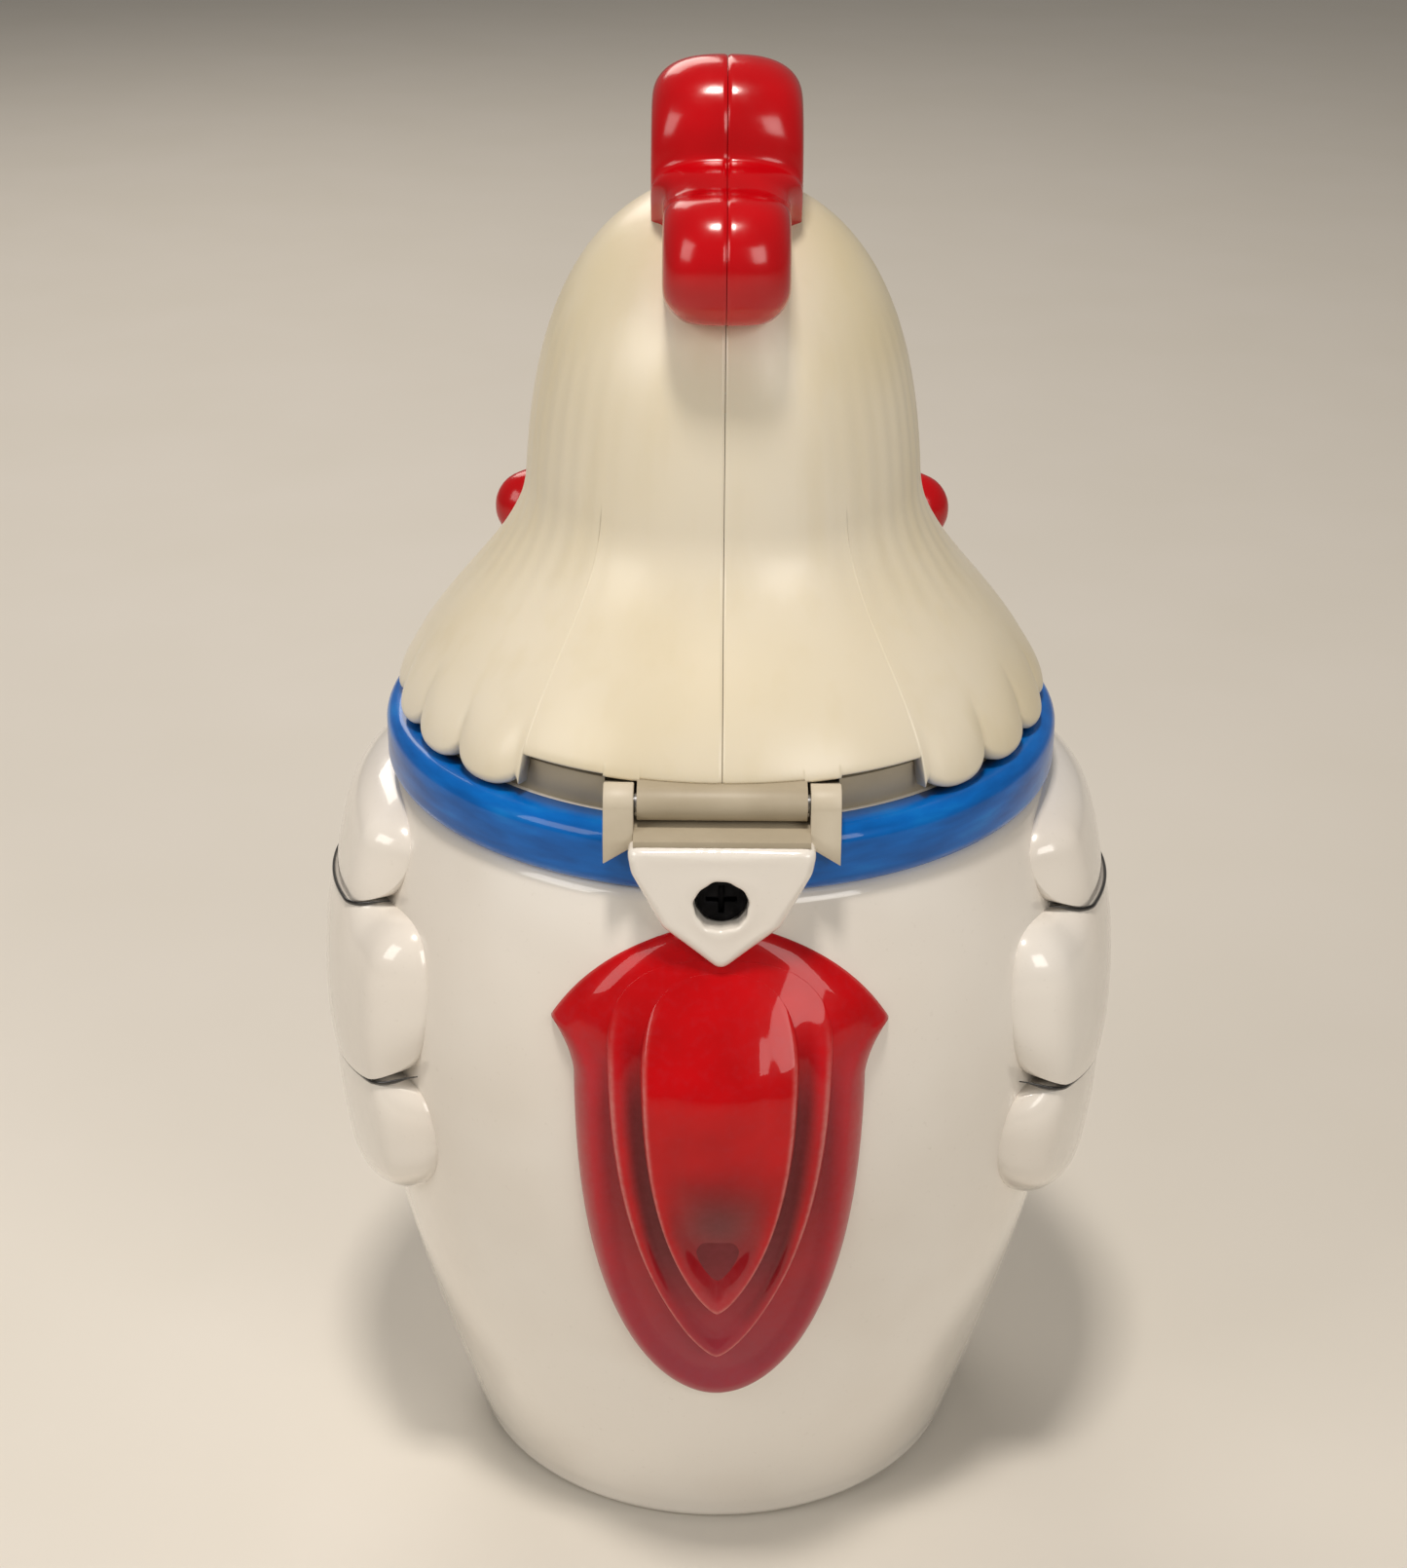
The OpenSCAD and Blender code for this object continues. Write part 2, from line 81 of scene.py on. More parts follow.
def linear(code):
    # sRGB hex to linear RGBA
    parts = np.array([int(code[i:i + 2], 16) for i in (1, 3, 5)]) / 255
    low = parts / 12.92
    high = ((parts + 0.055) / 1.055) ** 2.4
    return tuple(np.where(parts <= 0.04045, low, high)) + (1.0,)


def makeLights():
    for lamp in lamps:
        data = bpy.data.lights.new(lamp["name"], "AREA")
        data.size = lamp["size"] * mm
        data.energy = lamp["power"]
        data.color = linear(lamp["colour"])[:3]
        light = bpy.data.objects.new(lamp["name"], data)
        place = Vector(lamp["place"]) * mm
        turn = (Vector(studio["aim"]) - place).to_track_quat("-Z", "Y").to_matrix().to_4x4()
        light.matrix_world = Matrix.Translation(place) @ turn
        bpy.context.scene.collection.objects.link(light)
    world = bpy.data.worlds.new("studio")
    world.use_nodes = True
    room = world.node_tree.nodes["Background"]
    room.inputs["Color"].default_value = linear(studio["roomColour"])
    room.inputs["Strength"].default_value = studio["roomStrength"]
    bpy.context.scene.world = world
    bpy.context.scene.view_settings.view_transform = "Standard"


def addNode(tree, kind, settings=None, links=None):
    node = tree.nodes.new(kind)
    for key, value in (settings or {}).items():
        if isinstance(key, int) or key in node.inputs:
            node.inputs[key].default_value = value
        else:
            setattr(node, key, value)
    for key, source in (links or {}).items():
        tree.links.new(source, node.inputs[key])
    return node


def newMaterial(name, settings):
    material = bpy.data.materials.new(name)
    material.use_nodes = True
    tree = material.node_tree
    shader = tree.nodes["Principled BSDF"]
    for key, value in settings.items():
        shader.inputs[key].default_value = value
    return material, tree, shader


def blendRamp(tree, factor, stops):
    ramp = addNode(tree, "ShaderNodeValToRGB", links={"Fac": factor})
    while len(ramp.color_ramp.elements) < len(stops):
        ramp.color_ramp.elements.new(0.5)
    for element, (place, code) in zip(ramp.color_ramp.elements, stops):
        element.position = place
        element.color = linear(code)
    return ramp.outputs["Color"]


def noiseAt(tree, scalePerMm, detail=3.0, stretch=(1, 1, 1)):
    place = addNode(tree, "ShaderNodeTexCoord").outputs["Object"]
    mapped = addNode(tree, "ShaderNodeMapping", {"Scale": stretch}, {"Vector": place})
    return addNode(tree, "ShaderNodeTexNoise", {"Scale": scalePerMm / mm, "Detail": detail},
                   {"Vector": mapped.outputs["Vector"]}).outputs["Fac"]


def mixed(tree, factor, first, second, kind="MIX"):
    mix = addNode(tree, "ShaderNodeMix", {"data_type": "RGBA", "blend_type": kind})
    for socket, source in ((mix.inputs["Factor"], factor), (mix.inputs[6], first), (mix.inputs[7], second)):
        if isinstance(source, (int, float, tuple)):
            socket.default_value = source
        else:
            tree.links.new(source, socket)
    return mix.outputs[2]


def scaled(tree, source, low, high, fromLow=0.0, fromHigh=1.0):
    span = {"From Min": fromLow, "From Max": fromHigh, "To Min": low, "To Max": high}
    return addNode(tree, "ShaderNodeMapRange", span, {"Value": source}).outputs["Result"]


def bumped(tree, shader, parts):
    # stacked bumps: (height socket, depth in mm)
    normal = None
    for height, depth in parts:
        links = {"Height": height}
        if normal is not None:
            links["Normal"] = normal
        bump = addNode(tree, "ShaderNodeBump", {"Strength": 1.0, "Distance": depth * mm}, links)
        normal = bump.outputs["Normal"]
    tree.links.new(normal, shader.inputs["Normal"])


def tonedMaterial(name, settings, noise, lowCode, highCode):
    # a finish whose colour drifts between two tones; noise is its scale per mm and its detail
    material, tree, shader = newMaterial(name, settings)
    tone = blendRamp(tree, noiseAt(tree, *noise), [(0.3, lowCode), (0.7, highCode)])
    tree.links.new(tone, shader.inputs["Base Color"])
    return material, tree, shader


def glazedWhite():
    # earthenware under a clear gloss glaze: warm white, wet-looking, with a slow
    # ripple where the glaze ran and a trace of grey mottling below it
    material, tree, shader = newMaterial("glazedWhiteEarthenware", {
        "Roughness": 0.2, "IOR": 1.5, "Coat Weight": 0.85, "Coat Roughness": 0.035, "Coat IOR": 1.5})
    speck = noiseAt(tree, 1.4, 2.0)
    tone = blendRamp(tree, noiseAt(tree, 0.035, 2.0), [(0.3, "#E8E1D7"), (0.62, "#F0EBE3")])
    tone = mixed(tree, scaled(tree, speck, 0.0, 0.10, 0.66, 0.8), tone, linear("#A79B88"))
    tree.links.new(tone, shader.inputs["Base Color"])
    tree.links.new(scaled(tree, noiseAt(tree, 0.3), 0.16, 0.27), shader.inputs["Roughness"])
    bumped(tree, shader, [(noiseAt(tree, 0.05, 1.0), 0.25), (noiseAt(tree, 0.7, 1.0), 0.012)])
    return material


# colour brushed on the clay: a flat paint with the clear glaze as a coat over it
underglaze = {"Roughness": 0.3, "Specular IOR Level": 0.1, "Coat Weight": 0.5, "Coat Roughness": 0.04,
              "Coat IOR": 1.5}


def attributeField(tree, name):
    return addNode(tree, "ShaderNodeAttribute", {"attribute_name": name}).outputs["Fac"]


def glazedBlue():
    # underglaze blue band: brushed on, so a little deeper and lighter along the strokes
    material, tree, shader = newMaterial("underglazeBlue", underglaze)
    stops = [(0.3, "#0055A4"), (0.55, "#0066BE"), (0.75, "#0A78CC")]
    tone = blendRamp(tree, noiseAt(tree, 0.10, 4.0, (1, 1, 5)), stops)
    tree.links.new(tone, shader.inputs["Base Color"])
    bumped(tree, shader, [(noiseAt(tree, 0.07, 1.0), 0.2), (noiseAt(tree, 0.8, 1.0), 0.012)])
    return material


def glazedRed():
    # underglaze red: darker in the hollows as painted shade, pink on each lip, partly where the glaze
    # breaks thin and partly as a painted highlight, and sprayed thinner towards the tail's tip, where it
    # turns rose
    material, tree, shader = newMaterial("underglazeRed", underglaze)
    lip, fade, hollowShade = (attributeField(tree, name) for name in ("lip", "fade", "hollowShade"))
    grain = noiseAt(tree, 0.9, 4.0)
    red = blendRamp(tree, noiseAt(tree, 0.12, 2.0), [(0.3, "#B40006"), (0.7, "#C8000A")])
    # painted shade: the red goes dark in the tail's hollows
    shadedRed = mixed(tree, hollowShade, red, linear("#6A000C"))
    fadeGrain = addNode(tree, "ShaderNodeMath", {"operation": "MULTIPLY_ADD", 1: 0.35, 2: -0.17}, {0: grain})
    fadeSum = addNode(tree, "ShaderNodeMath", {"operation": "ADD", "use_clamp": True},
                      {0: fade, 1: fadeGrain.outputs[0]})
    rose = mixed(tree, fadeSum.outputs[0], shadedRed, linear("#A03A48"))
    # the pale lip is partly the glaze breaking thin over each edge and partly a painted highlight
    lipPaleAndHighlight = addNode(tree, "ShaderNodeMath", {"operation": "MULTIPLY", "use_clamp": True},
                   {0: lip, 1: scaled(tree, grain, 0.55, 1.2, 0.3, 0.7)}).outputs[0]
    tree.links.new(mixed(tree, lipPaleAndHighlight, rose, linear("#CC6A66")), shader.inputs["Base Color"])
    bumped(tree, shader, [(noiseAt(tree, 0.09, 1.0), 0.2), (noiseAt(tree, 0.9, 1.0), 0.015)])
    return material


def agedAbs():
    # moulded ABS, once white: a satin skin with a faint eggshell texture, yellowed in soft
    # patches, with faint darker upright streaks that are partly yellowing and partly painted shade of the
    # soft flutes
    material, tree, shader = newMaterial("agedCreamAbs", {
        "Roughness": 0.36, "IOR": 1.53, "Coat Weight": 0.25, "Coat Roughness": 0.22,
        "Subsurface Weight": 0.06, "Subsurface Radius": (1.0, 0.8, 0.5), "Subsurface Scale": 0.0015})
    streak = noiseAt(tree, 0.22, 3.0, (1, 1, 0.12))
    height = addNode(tree, "ShaderNodeSeparateXYZ", links={
        "Vector": addNode(tree, "ShaderNodeTexCoord").outputs["Object"]}).outputs["Z"]
    low = scaled(tree, height, 1.0, 0.0, 0.118, 0.172)
    stops = [(0.34, "#D9CCAA"), (0.5, "#E2D8BF"), (0.66, "#E8E0CD")]
    base = blendRamp(tree, noiseAt(tree, 0.022, 2.0), stops)
    base = mixed(tree, scaled(tree, low, 0.0, 0.3), base, linear("#EAE2D2"))
    # painted shade and yellowing: faint darker upright streaks where the flutes fall in shade
    base = mixed(tree, scaled(tree, streak, 0.0, 0.16, 0.5, 0.72), base, linear("#D3C49A"))
    tree.links.new(base, shader.inputs["Base Color"])
    tree.links.new(scaled(tree, noiseAt(tree, 0.5), 0.3, 0.42), shader.inputs["Roughness"])
    bumped(tree, shader, [(streak, 0.03), (noiseAt(tree, 2.2, 2.0), 0.005)])
    return material


def ringAbs(name, lowCode, highCode):
    # the inner moulding: the same plastic, duller; the ring and lid plate are painted darker as the shade
    # under the head's rim, the ears keep the paler tone
    settings = {"Roughness": 0.48, "IOR": 1.53}
    material, tree, shader = tonedMaterial(name, settings, (0.12, 4.0), lowCode, highCode)
    bumped(tree, shader, [(noiseAt(tree, 1.6, 2.0), 0.01)])
    return material


def combPlastic():
    # high-gloss red moulding with slight sink marks and fine handling haze
    settings = {"Roughness": 0.16, "IOR": 1.5}
    material, tree, shader = tonedMaterial("glossRedAbs", settings, (0.09, 2.0), "#AE0008", "#C2000C")
    tree.links.new(scaled(tree, noiseAt(tree, 0.6, 4.0), 0.12, 0.24), shader.inputs["Roughness"])
    bumped(tree, shader, [(noiseAt(tree, 0.10, 1.0), 0.25), (noiseAt(tree, 1.8, 2.0), 0.004)])
    return material


def plainGloss(name, lowCode, highCode, roughness):
    # small gloss mouldings: even colour with a slow change of tone and a fine skin
    settings = {"Roughness": roughness, "IOR": 1.53}
    material, tree, shader = tonedMaterial(name, settings, (0.2, 3.0), lowCode, highCode)
    bumped(tree, shader, [(noiseAt(tree, 1.5, 2.0), 0.006)])
    return material


def platedSteel(name, lowCode, highCode, roughness):
    # turned and plated steel: fine lines round the axis and a patchy finish
    settings = {"Metallic": 1.0, "Roughness": roughness}
    material, tree, shader = tonedMaterial(name, settings, (0.8, 4.0), lowCode, highCode)
    bumped(tree, shader, [(noiseAt(tree, 3.0, 2.0, (1, 6, 1)), 0.004)])
    return material


def siliconeSeal():
    # translucent-white silicone: matt, slightly sticky, so it holds dust
    settings = {"Roughness": 0.55, "IOR": 1.41, "Subsurface Weight": 0.2, "Subsurface Scale": 0.001}
    material, tree, shader = tonedMaterial("siliconeRubber", settings, (0.9, 4.0), "#B9B5A9", "#CDC9BE")
    bumped(tree, shader, [(noiseAt(tree, 2.0, 2.0), 0.01)])
    return material


def brushedBlack():
    # the black line between feathers: a thin stroke of colour under the glaze
    settings = {"Roughness": 0.22, "IOR": 1.5, "Coat Weight": 0.7, "Coat Roughness": 0.05}
    return tonedMaterial("underglazeBlack", settings, (0.8, 3.0), "#0B0A0A", "#1D1A18")[0]


def pressedFloor():
    # a plain sheet of matt laminate, so even that only a trace of tone is left in it
    return tonedMaterial("paleFloor", {"Roughness": 0.55}, (0.02, 2.0), "#DAD5CB", "#DCD7CE")[0]


# distances below which points are one point, and an edge is no edge
weld, sliver = 0.002 * mm, 0.0005 * mm


def arrayMesh(name, points, faces):
    # points: (n, 3) in metres; faces: rows of 4 corners, -1 where there is no fourth
    mesh = bpy.data.meshes.new(name)
    isQuad = faces[:, 3] >= 0
    mesh.from_pydata(points.tolist(), [], faces[isQuad].tolist() + faces[~isQuad, :3].tolist())
    return mesh


def newPiece(name, points, faces, body, material, replaced=(), values=None):
    mesh = arrayMesh(name, points, faces)
    for key, field in (values or {}).items():
        layer = mesh.attributes.new(key, "FLOAT", "POINT")
        layer.data.foreach_set("value", np.asarray(field, dtype=np.float32).ravel())
    return finishPiece(name, mesh, body, material, replaced)


def finishPiece(name, mesh, body, material, replaced=()):
    work = bmesh.new()
    work.from_mesh(mesh)
    bmesh.ops.remove_doubles(work, verts=work.verts, dist=weld)
    bmesh.ops.dissolve_degenerate(work, edges=work.edges, dist=sliver)
    bmesh.ops.recalc_face_normals(work, faces=work.faces)
    if work.calc_volume(signed=True) < 0:
        bmesh.ops.reverse_faces(work, faces=work.faces)
    work.to_mesh(mesh)
    work.free()
    mesh.polygons.foreach_set("use_smooth", [True] * len(mesh.polygons))
    piece = bpy.data.objects.new(name, mesh)
    bpy.context.scene.collection.objects.link(piece)
    mesh.materials.append(material)
    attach(piece, body)
    if replaced:
        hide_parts(*replaced)
    return piece


def gridFaces(rows, cols, wrapRows=False, wrapCols=False):
    # the quads between neighbouring rows of points; a wrap joins the last to the first
    i = np.arange(rows if wrapRows else rows - 1)
    j = np.arange(cols if wrapCols else cols - 1)
    i, j = np.meshgrid(i, j, indexing="ij")
    down, along = (i + 1) % rows, (j + 1) % cols
    return np.stack([i * cols + j, down * cols + j, down * cols + along, i * cols + along], -1).reshape(-1, 4)


def poleFaces(first, count, pole):
    # a fan of triangles from one row of points to a single point
    j = np.arange(count)
    return np.stack([first + j, first + (j + 1) % count, np.full(count, pole), np.full(count, -1)], -1)


def ringsToPiece(rings, startPole, endPole):
    # rings: (rows, cols, 3), each a closed loop, closed at both ends by a pole
    rows, cols = rings.shape[:2]
    points = np.concatenate([rings.reshape(-1, 3), [startPole], [endPole]])
    faces = np.concatenate([gridFaces(rows, cols, wrapCols=True),
                            poleFaces(0, cols, rows * cols),
                            poleFaces((rows - 1) * cols, cols, rows * cols + 1)])
    return points, faces


def lathe(profile, count):
    # a profile of (radius, height) turned about Z; it starts and ends on the axis
    profile = np.asarray(profile)
    turn = np.linspace(0, 2 * pi, count, endpoint=False)
    inner = profile[1:-1]
    rings = np.stack([inner[:, :1] * np.cos(turn), inner[:, :1] * np.sin(turn),
                      np.repeat(inner[:, 1:], count, 1)], -1)
    return ringsToPiece(rings, (0, 0, profile[0, 1]), (0, 0, profile[-1, 1]))


def arc(centre, radius, start, end, count):
    a = np.radians(np.linspace(start, end, count))
    return np.stack([centre[0] + radius * np.cos(a), centre[1] + radius * np.sin(a)], -1)


def smoothStep(x, low, high):
    # 3t^2 - 2t^3: from 0 at low to 1 at high, level at both ends
    t = np.clip((x - low) / (high - low), 0, 1)
    return t * t * (3 - 2 * t)


def appliedCopy(name, source, modifiers):
    # bakes modifiers into a new mesh and removes the working object
    for kind, settings in modifiers:
        modifier = source.modifiers.new(kind.lower(), kind)
        for key, value in settings.items():
            setattr(modifier, key, value)
    bpy.context.view_layer.update()
    baked = source.evaluated_get(bpy.context.evaluated_depsgraph_get())
    mesh = bpy.data.meshes.new_from_object(baked)
    mesh.name = name
    old = source.data
    bpy.data.objects.remove(source)
    bpy.data.meshes.remove(old)
    return mesh


jarSizes = {"baseRadius": 36.6 * mm, "bellyHeight": 76 * mm, "shoulderRadius": 46.3 * mm,
            "wall": 4.5 * mm, "floor": 5 * mm, "neckRadius": 44.5 * mm, "mouthRadius": 40.2 * mm,
            "footRound": 2.2 * mm, "footEase": 0.6 * mm, "rimRound": 1.6 * mm, "cove": 6 * mm,
            "drillDepth": 20 * mm, "around": 192}
jarTop = float(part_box("jar_body")[1][2])
bellyRadius = float(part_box("jar_body")[1][0])
shoulderZ = float(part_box("collar")[0][2])
bossFace = float(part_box("hinge_boss")[1][1])
bossTip = float(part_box("hinge_boss")[0][2])


def jarRadius(z):
    # a quarter sine up to the belly, then a parabola in to the shoulder
    s = jarSizes
    z = np.asarray(z, dtype=float)
    rise = np.sin(pi / 2 * np.clip(z / s["bellyHeight"], 0, 1))
    lower = s["baseRadius"] + (bellyRadius - s["baseRadius"]) * rise
    t = (z - s["bellyHeight"]) / (shoulderZ - s["bellyHeight"])
    upper = s["shoulderRadius"] + (bellyRadius - s["shoulderRadius"]) * (1 - t * t)
    return np.where(z < s["bellyHeight"], lower, upper)


def makeJar(material):
    s = jarSizes
    foot = arc((s["baseRadius"] - s["footRound"] + s["footEase"], s["footRound"]), s["footRound"], -90, 0, 8)
    z = np.linspace(s["footRound"] + 1.5 * mm, shoulderZ, 70)
    side = np.stack([jarRadius(z), z], -1)
    rim = np.concatenate([
        arc((s["neckRadius"] - s["rimRound"], jarTop - s["rimRound"]), s["rimRound"], 0, 90, 6),
        arc((s["mouthRadius"] + s["rimRound"], jarTop - s["rimRound"]), s["rimRound"], 90, 180, 6)])
    cavityTop = shoulderZ - 3 * mm
    z = np.linspace(shoulderZ - 9 * mm, s["floor"] + 9 * mm, 50)
    inside = np.stack([jarRadius(z) - s["wall"], z], -1)
    bottomRadius = float(jarRadius(s["floor"] + s["cove"])) - s["wall"]
    cove = arc((bottomRadius - s["cove"], s["floor"] + s["cove"]), s["cove"], 0, -90, 9)
    profile = np.concatenate([[[0, 0]], foot, side, [[s["neckRadius"], shoulderZ + 0.3 * mm]], rim,
                              [[s["mouthRadius"], cavityTop]], inside, cove, [[0, s["floor"]]]])
    points, faces = lathe(profile, s["around"])
    mesh = arrayMesh("jarBody", points, faces)
    blank = bpy.data.objects.new("jarBlank", mesh)
    bpy.context.scene.collection.objects.link(blank)
    work = bmesh.new()
    work.from_mesh(mesh)
    bmesh.ops.recalc_face_normals(work, faces=work.faces)
    work.to_mesh(mesh)
    work.free()
    # the drilling for the hinge screw
    drill = bpy.data.meshes.new("drill")
    work = bmesh.new()
    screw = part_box("hinge_screw")
    centre = Vector((0, 45 * mm, float(screw[0][2] + screw[1][2]) / 2))
    radius = bossSizes["holeRadius"]
    bmesh.ops.create_cone(work, cap_ends=True, segments=48, radius1=radius, radius2=radius,
                          depth=s["drillDepth"],
                          matrix=Matrix.Translation(centre) @ Matrix.Rotation(pi / 2, 4, "X"))
    work.to_mesh(drill)
    work.free()
    cutter = bpy.data.objects.new("drill", drill)
    bpy.context.scene.collection.objects.link(cutter)
    cut = {"operation": "DIFFERENCE", "object": cutter, "solver": "EXACT"}
    mesh = appliedCopy("jarBody", blank, [("BOOLEAN", cut)])
    bpy.data.objects.remove(cutter)
    finishPiece("jarBody", mesh, "jar", material, ["jar_body"])


collarSizes = {"edgeRound": 2.4 * mm, "bite": 0.5 * mm, "filmRadius": 42.7 * mm, "around": 192}


def makeCollar(material):
    # a raised band, well rounded above and below, whose colour runs in over the jar's rim as a film
    low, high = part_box("collar")
    s = collarSizes
    outer, inner = float(high[0]), jarSizes["neckRadius"] - s["bite"]
    r, film, count = s["edgeRound"], s["filmRadius"], s["around"]
    z0, z1 = float(low[2]) + 0.1 * mm, float(high[2])
    profile = np.concatenate([
        [[inner, z0]], arc((outer - r, z0 + r), r, -90, -8, 9), [[outer, (z0 + z1) / 2]],
        arc((outer - r, z1 - r), r, 8, 90, 9),
        [[film, z1 + 0.03 * mm], [film, z1 - 0.4 * mm], [inner, z1 - 0.8 * mm]]])
    turn = np.linspace(0, 2 * pi, count, endpoint=False)
    rings = np.stack([profile[:, :1] * np.cos(turn), profile[:, :1] * np.sin(turn),
                      np.repeat(profile[:, 1:], count, 1)], -1)
    faces = gridFaces(len(profile), count, wrapRows=True, wrapCols=True)
    newPiece("collarBand", rings.reshape(-1, 3), faces, "jar", material, ["collar"])


bossSizes = {"halfWidth": 12.2 * mm, "corner": 1.6 * mm, "edgeRound": 1.4 * mm, "holeRadius": 3.5 * mm,
             "holeLip": 0.5 * mm, "recess": 8 * mm, "back": 40.1 * mm}


def roundedLoop(corners, radius, perCorner):
    # a closed outline whose corners are replaced by arcs tangent to both sides
    corners = np.asarray(corners, dtype=float)
    parts = []
    for before, here, after in zip(np.roll(corners, 1, 0), corners, np.roll(corners, -1, 0)):
        a = (before - here) / np.linalg.norm(before - here)
        b = (after - here) / np.linalg.norm(after - here)
        half = math.acos(float(np.clip(a @ b, -1, 1))) / 2
        reach = min(radius / math.tan(half), 0.45 * np.linalg.norm(before - here),
                    0.45 * np.linalg.norm(after - here))
        t = np.linspace(0, 1, perCorner)[:, None]
        start, end = here + a * reach, here + b * reach
        parts.append(start * (1 - t) ** 2 + here * 2 * t * (1 - t) + end * t ** 2)
    return np.concatenate(parts)


def radiusByAngle(loop, centre, angles):
    # distance from the centre to the outline along each angle
    offset = loop - centre
    a = np.arctan2(offset[:, 1], offset[:, 0])
    order = np.argsort(a)
    return np.interp(angles, a[order], np.linalg.norm(offset, axis=1)[order], period=2 * pi)


def makeBoss(material):
    s = bossSizes
    w, top, tip, back = s["halfWidth"], jarTop, bossTip, s["back"]
    corners = [(-w, top), (-w + 0.6 * mm, top - 3.5 * mm), (-7.7 * mm, top - 11.2 * mm), (0, tip - 0.6 * mm),
               (7.7 * mm, top - 11.2 * mm), (w - 0.6 * mm, top - 3.5 * mm), (w, top)]
    loop = roundedLoop(corners, s["corner"], 24)
    # twelve points along each side, so that the outline can be read at any angle
    share = np.linspace(0, 1, 12, endpoint=False)[None, :, None]
    step = np.roll(loop, -1, 0) - loop
    dense = (loop[:, None] + step[:, None] * share).reshape(-1, 2)
    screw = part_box("hinge_screw")
    hole = np.array([0.0, float(screw[0][2] + screw[1][2]) / 2])
    angles = np.linspace(-pi, pi, 160, endpoint=False)
    outline = radiusByAngle(dense, hole, angles)
    # a small unevenness of the hole's edge, where the wet clay was cut by hand
    ragged = 0.12 * mm * np.sin(5 * angles + 0.6) + 0.07 * mm * np.sin(11 * angles)
    holeR = s["holeRadius"] + ragged * 0.6
    turn = np.radians(np.linspace(0, 90, 9))
    rings = [(outline, back)]
    ease = s["edgeRound"]
    rings += [(outline - ease * (1 - math.cos(a)), bossFace - ease * (1 - math.sin(a))) for a in turn]
    flat = outline - s["edgeRound"]
    lip = holeR + s["holeLip"]
    rings += [(flat + (lip - flat) * t, bossFace - 0.25 * mm * t * (1 - t))
              for t in (0.2, 0.4, 0.6, 0.8, 1.0)]
    soft = s["holeLip"]
    rings += [(lip - soft * math.sin(a), bossFace - soft * (1 - math.cos(a))) for a in turn[2:]]
    rings += [(holeR, bossFace - d * mm) for d in (1.2, 2.5, 4.5, 6.5)]
    rings += [(holeR, bossFace - s["recess"])]
    radii = np.array([r for r, y in rings])
    depth = np.array([y for r, y in rings])
    grid = np.stack([hole[0] + radii * np.cos(angles), np.repeat(depth[:, None], len(angles), 1),
                     hole[1] + radii * np.sin(angles)], -1)
    points, faces = ringsToPiece(grid, (0, back, hole[1]), (0, bossFace - s["recess"], hole[1]))
    newPiece("hingeBoss", points, faces, "jar", material, ["hinge_boss"])


# each feather: how far its tip and its widest place lie above those of the outer one, what it
# loses in half width and at the top, and the two ends of its spine above the same places
tailSizes = {"halfWidth": 19.3 * mm, "tip": 30.6 * mm, "sideLength": 53.9 * mm, "top": 106.6 * mm,
             "bury": 1.2 * mm, "level": 2.2 * mm, "dome": 3.2 * mm, "domeWidth": 20 * mm,
             "middle": {"tip": 9.5 * mm, "wide": 6 * mm, "narrower": 4.6 * mm, "top": 4.5 * mm},
             "inner": {"tip": 18.5 * mm, "wide": 4 * mm, "narrower": 9 * mm, "top": 6 * mm},
             "spines": ((22 * mm, 2 * mm), (26 * mm, 4 * mm), (33 * mm, 8 * mm)),
             "middleLip": 1.25 * mm, "innerLip": 2.2 * mm, "spoon": 1.1 * mm}


def featherWidth(z, tip, wide, width, power):
    # from zero at the tip to full width at its widest height, blunt or pointed by power
    return width * np.sin(pi / 2 * np.clip((z - tip) / (wide - tip), 0, 1) ** power)


def bend(a, b, c, count):
    # a quadratic curve from a to c, drawn towards b
    t = np.linspace(0, 1, count)[:, None]
    return np.asarray(a) * (1 - t) ** 2 + np.asarray(b) * 2 * t * (1 - t) + np.asarray(c) * t ** 2


def featherLoop(tip, wide, width, power, top, shoulder=None, corner=None):
    # the closed outline: a side, an optional outward corner, an arch over the top, and the mirror image
    z = tip + (wide - tip) * np.linspace(0, 1, 60) ** 2
    side = np.stack([featherWidth(z, tip, wide, width, power), z], -1)
    if corner is None:
        arch = bend((width, wide), (width, top), (0, top), 40)[1:]
        half = np.concatenate([side, arch])
    else:
        sweep = bend(side[-1], (width + 0.4 * mm, corner[1] - 3.5 * mm), corner, 12)[1:]
        arch = bend(corner, shoulder, (0, top), 40)[1:]
        half = np.concatenate([side, sweep, arch])
    return np.concatenate([half, half[-2:0:-1] * (-1, 1)])


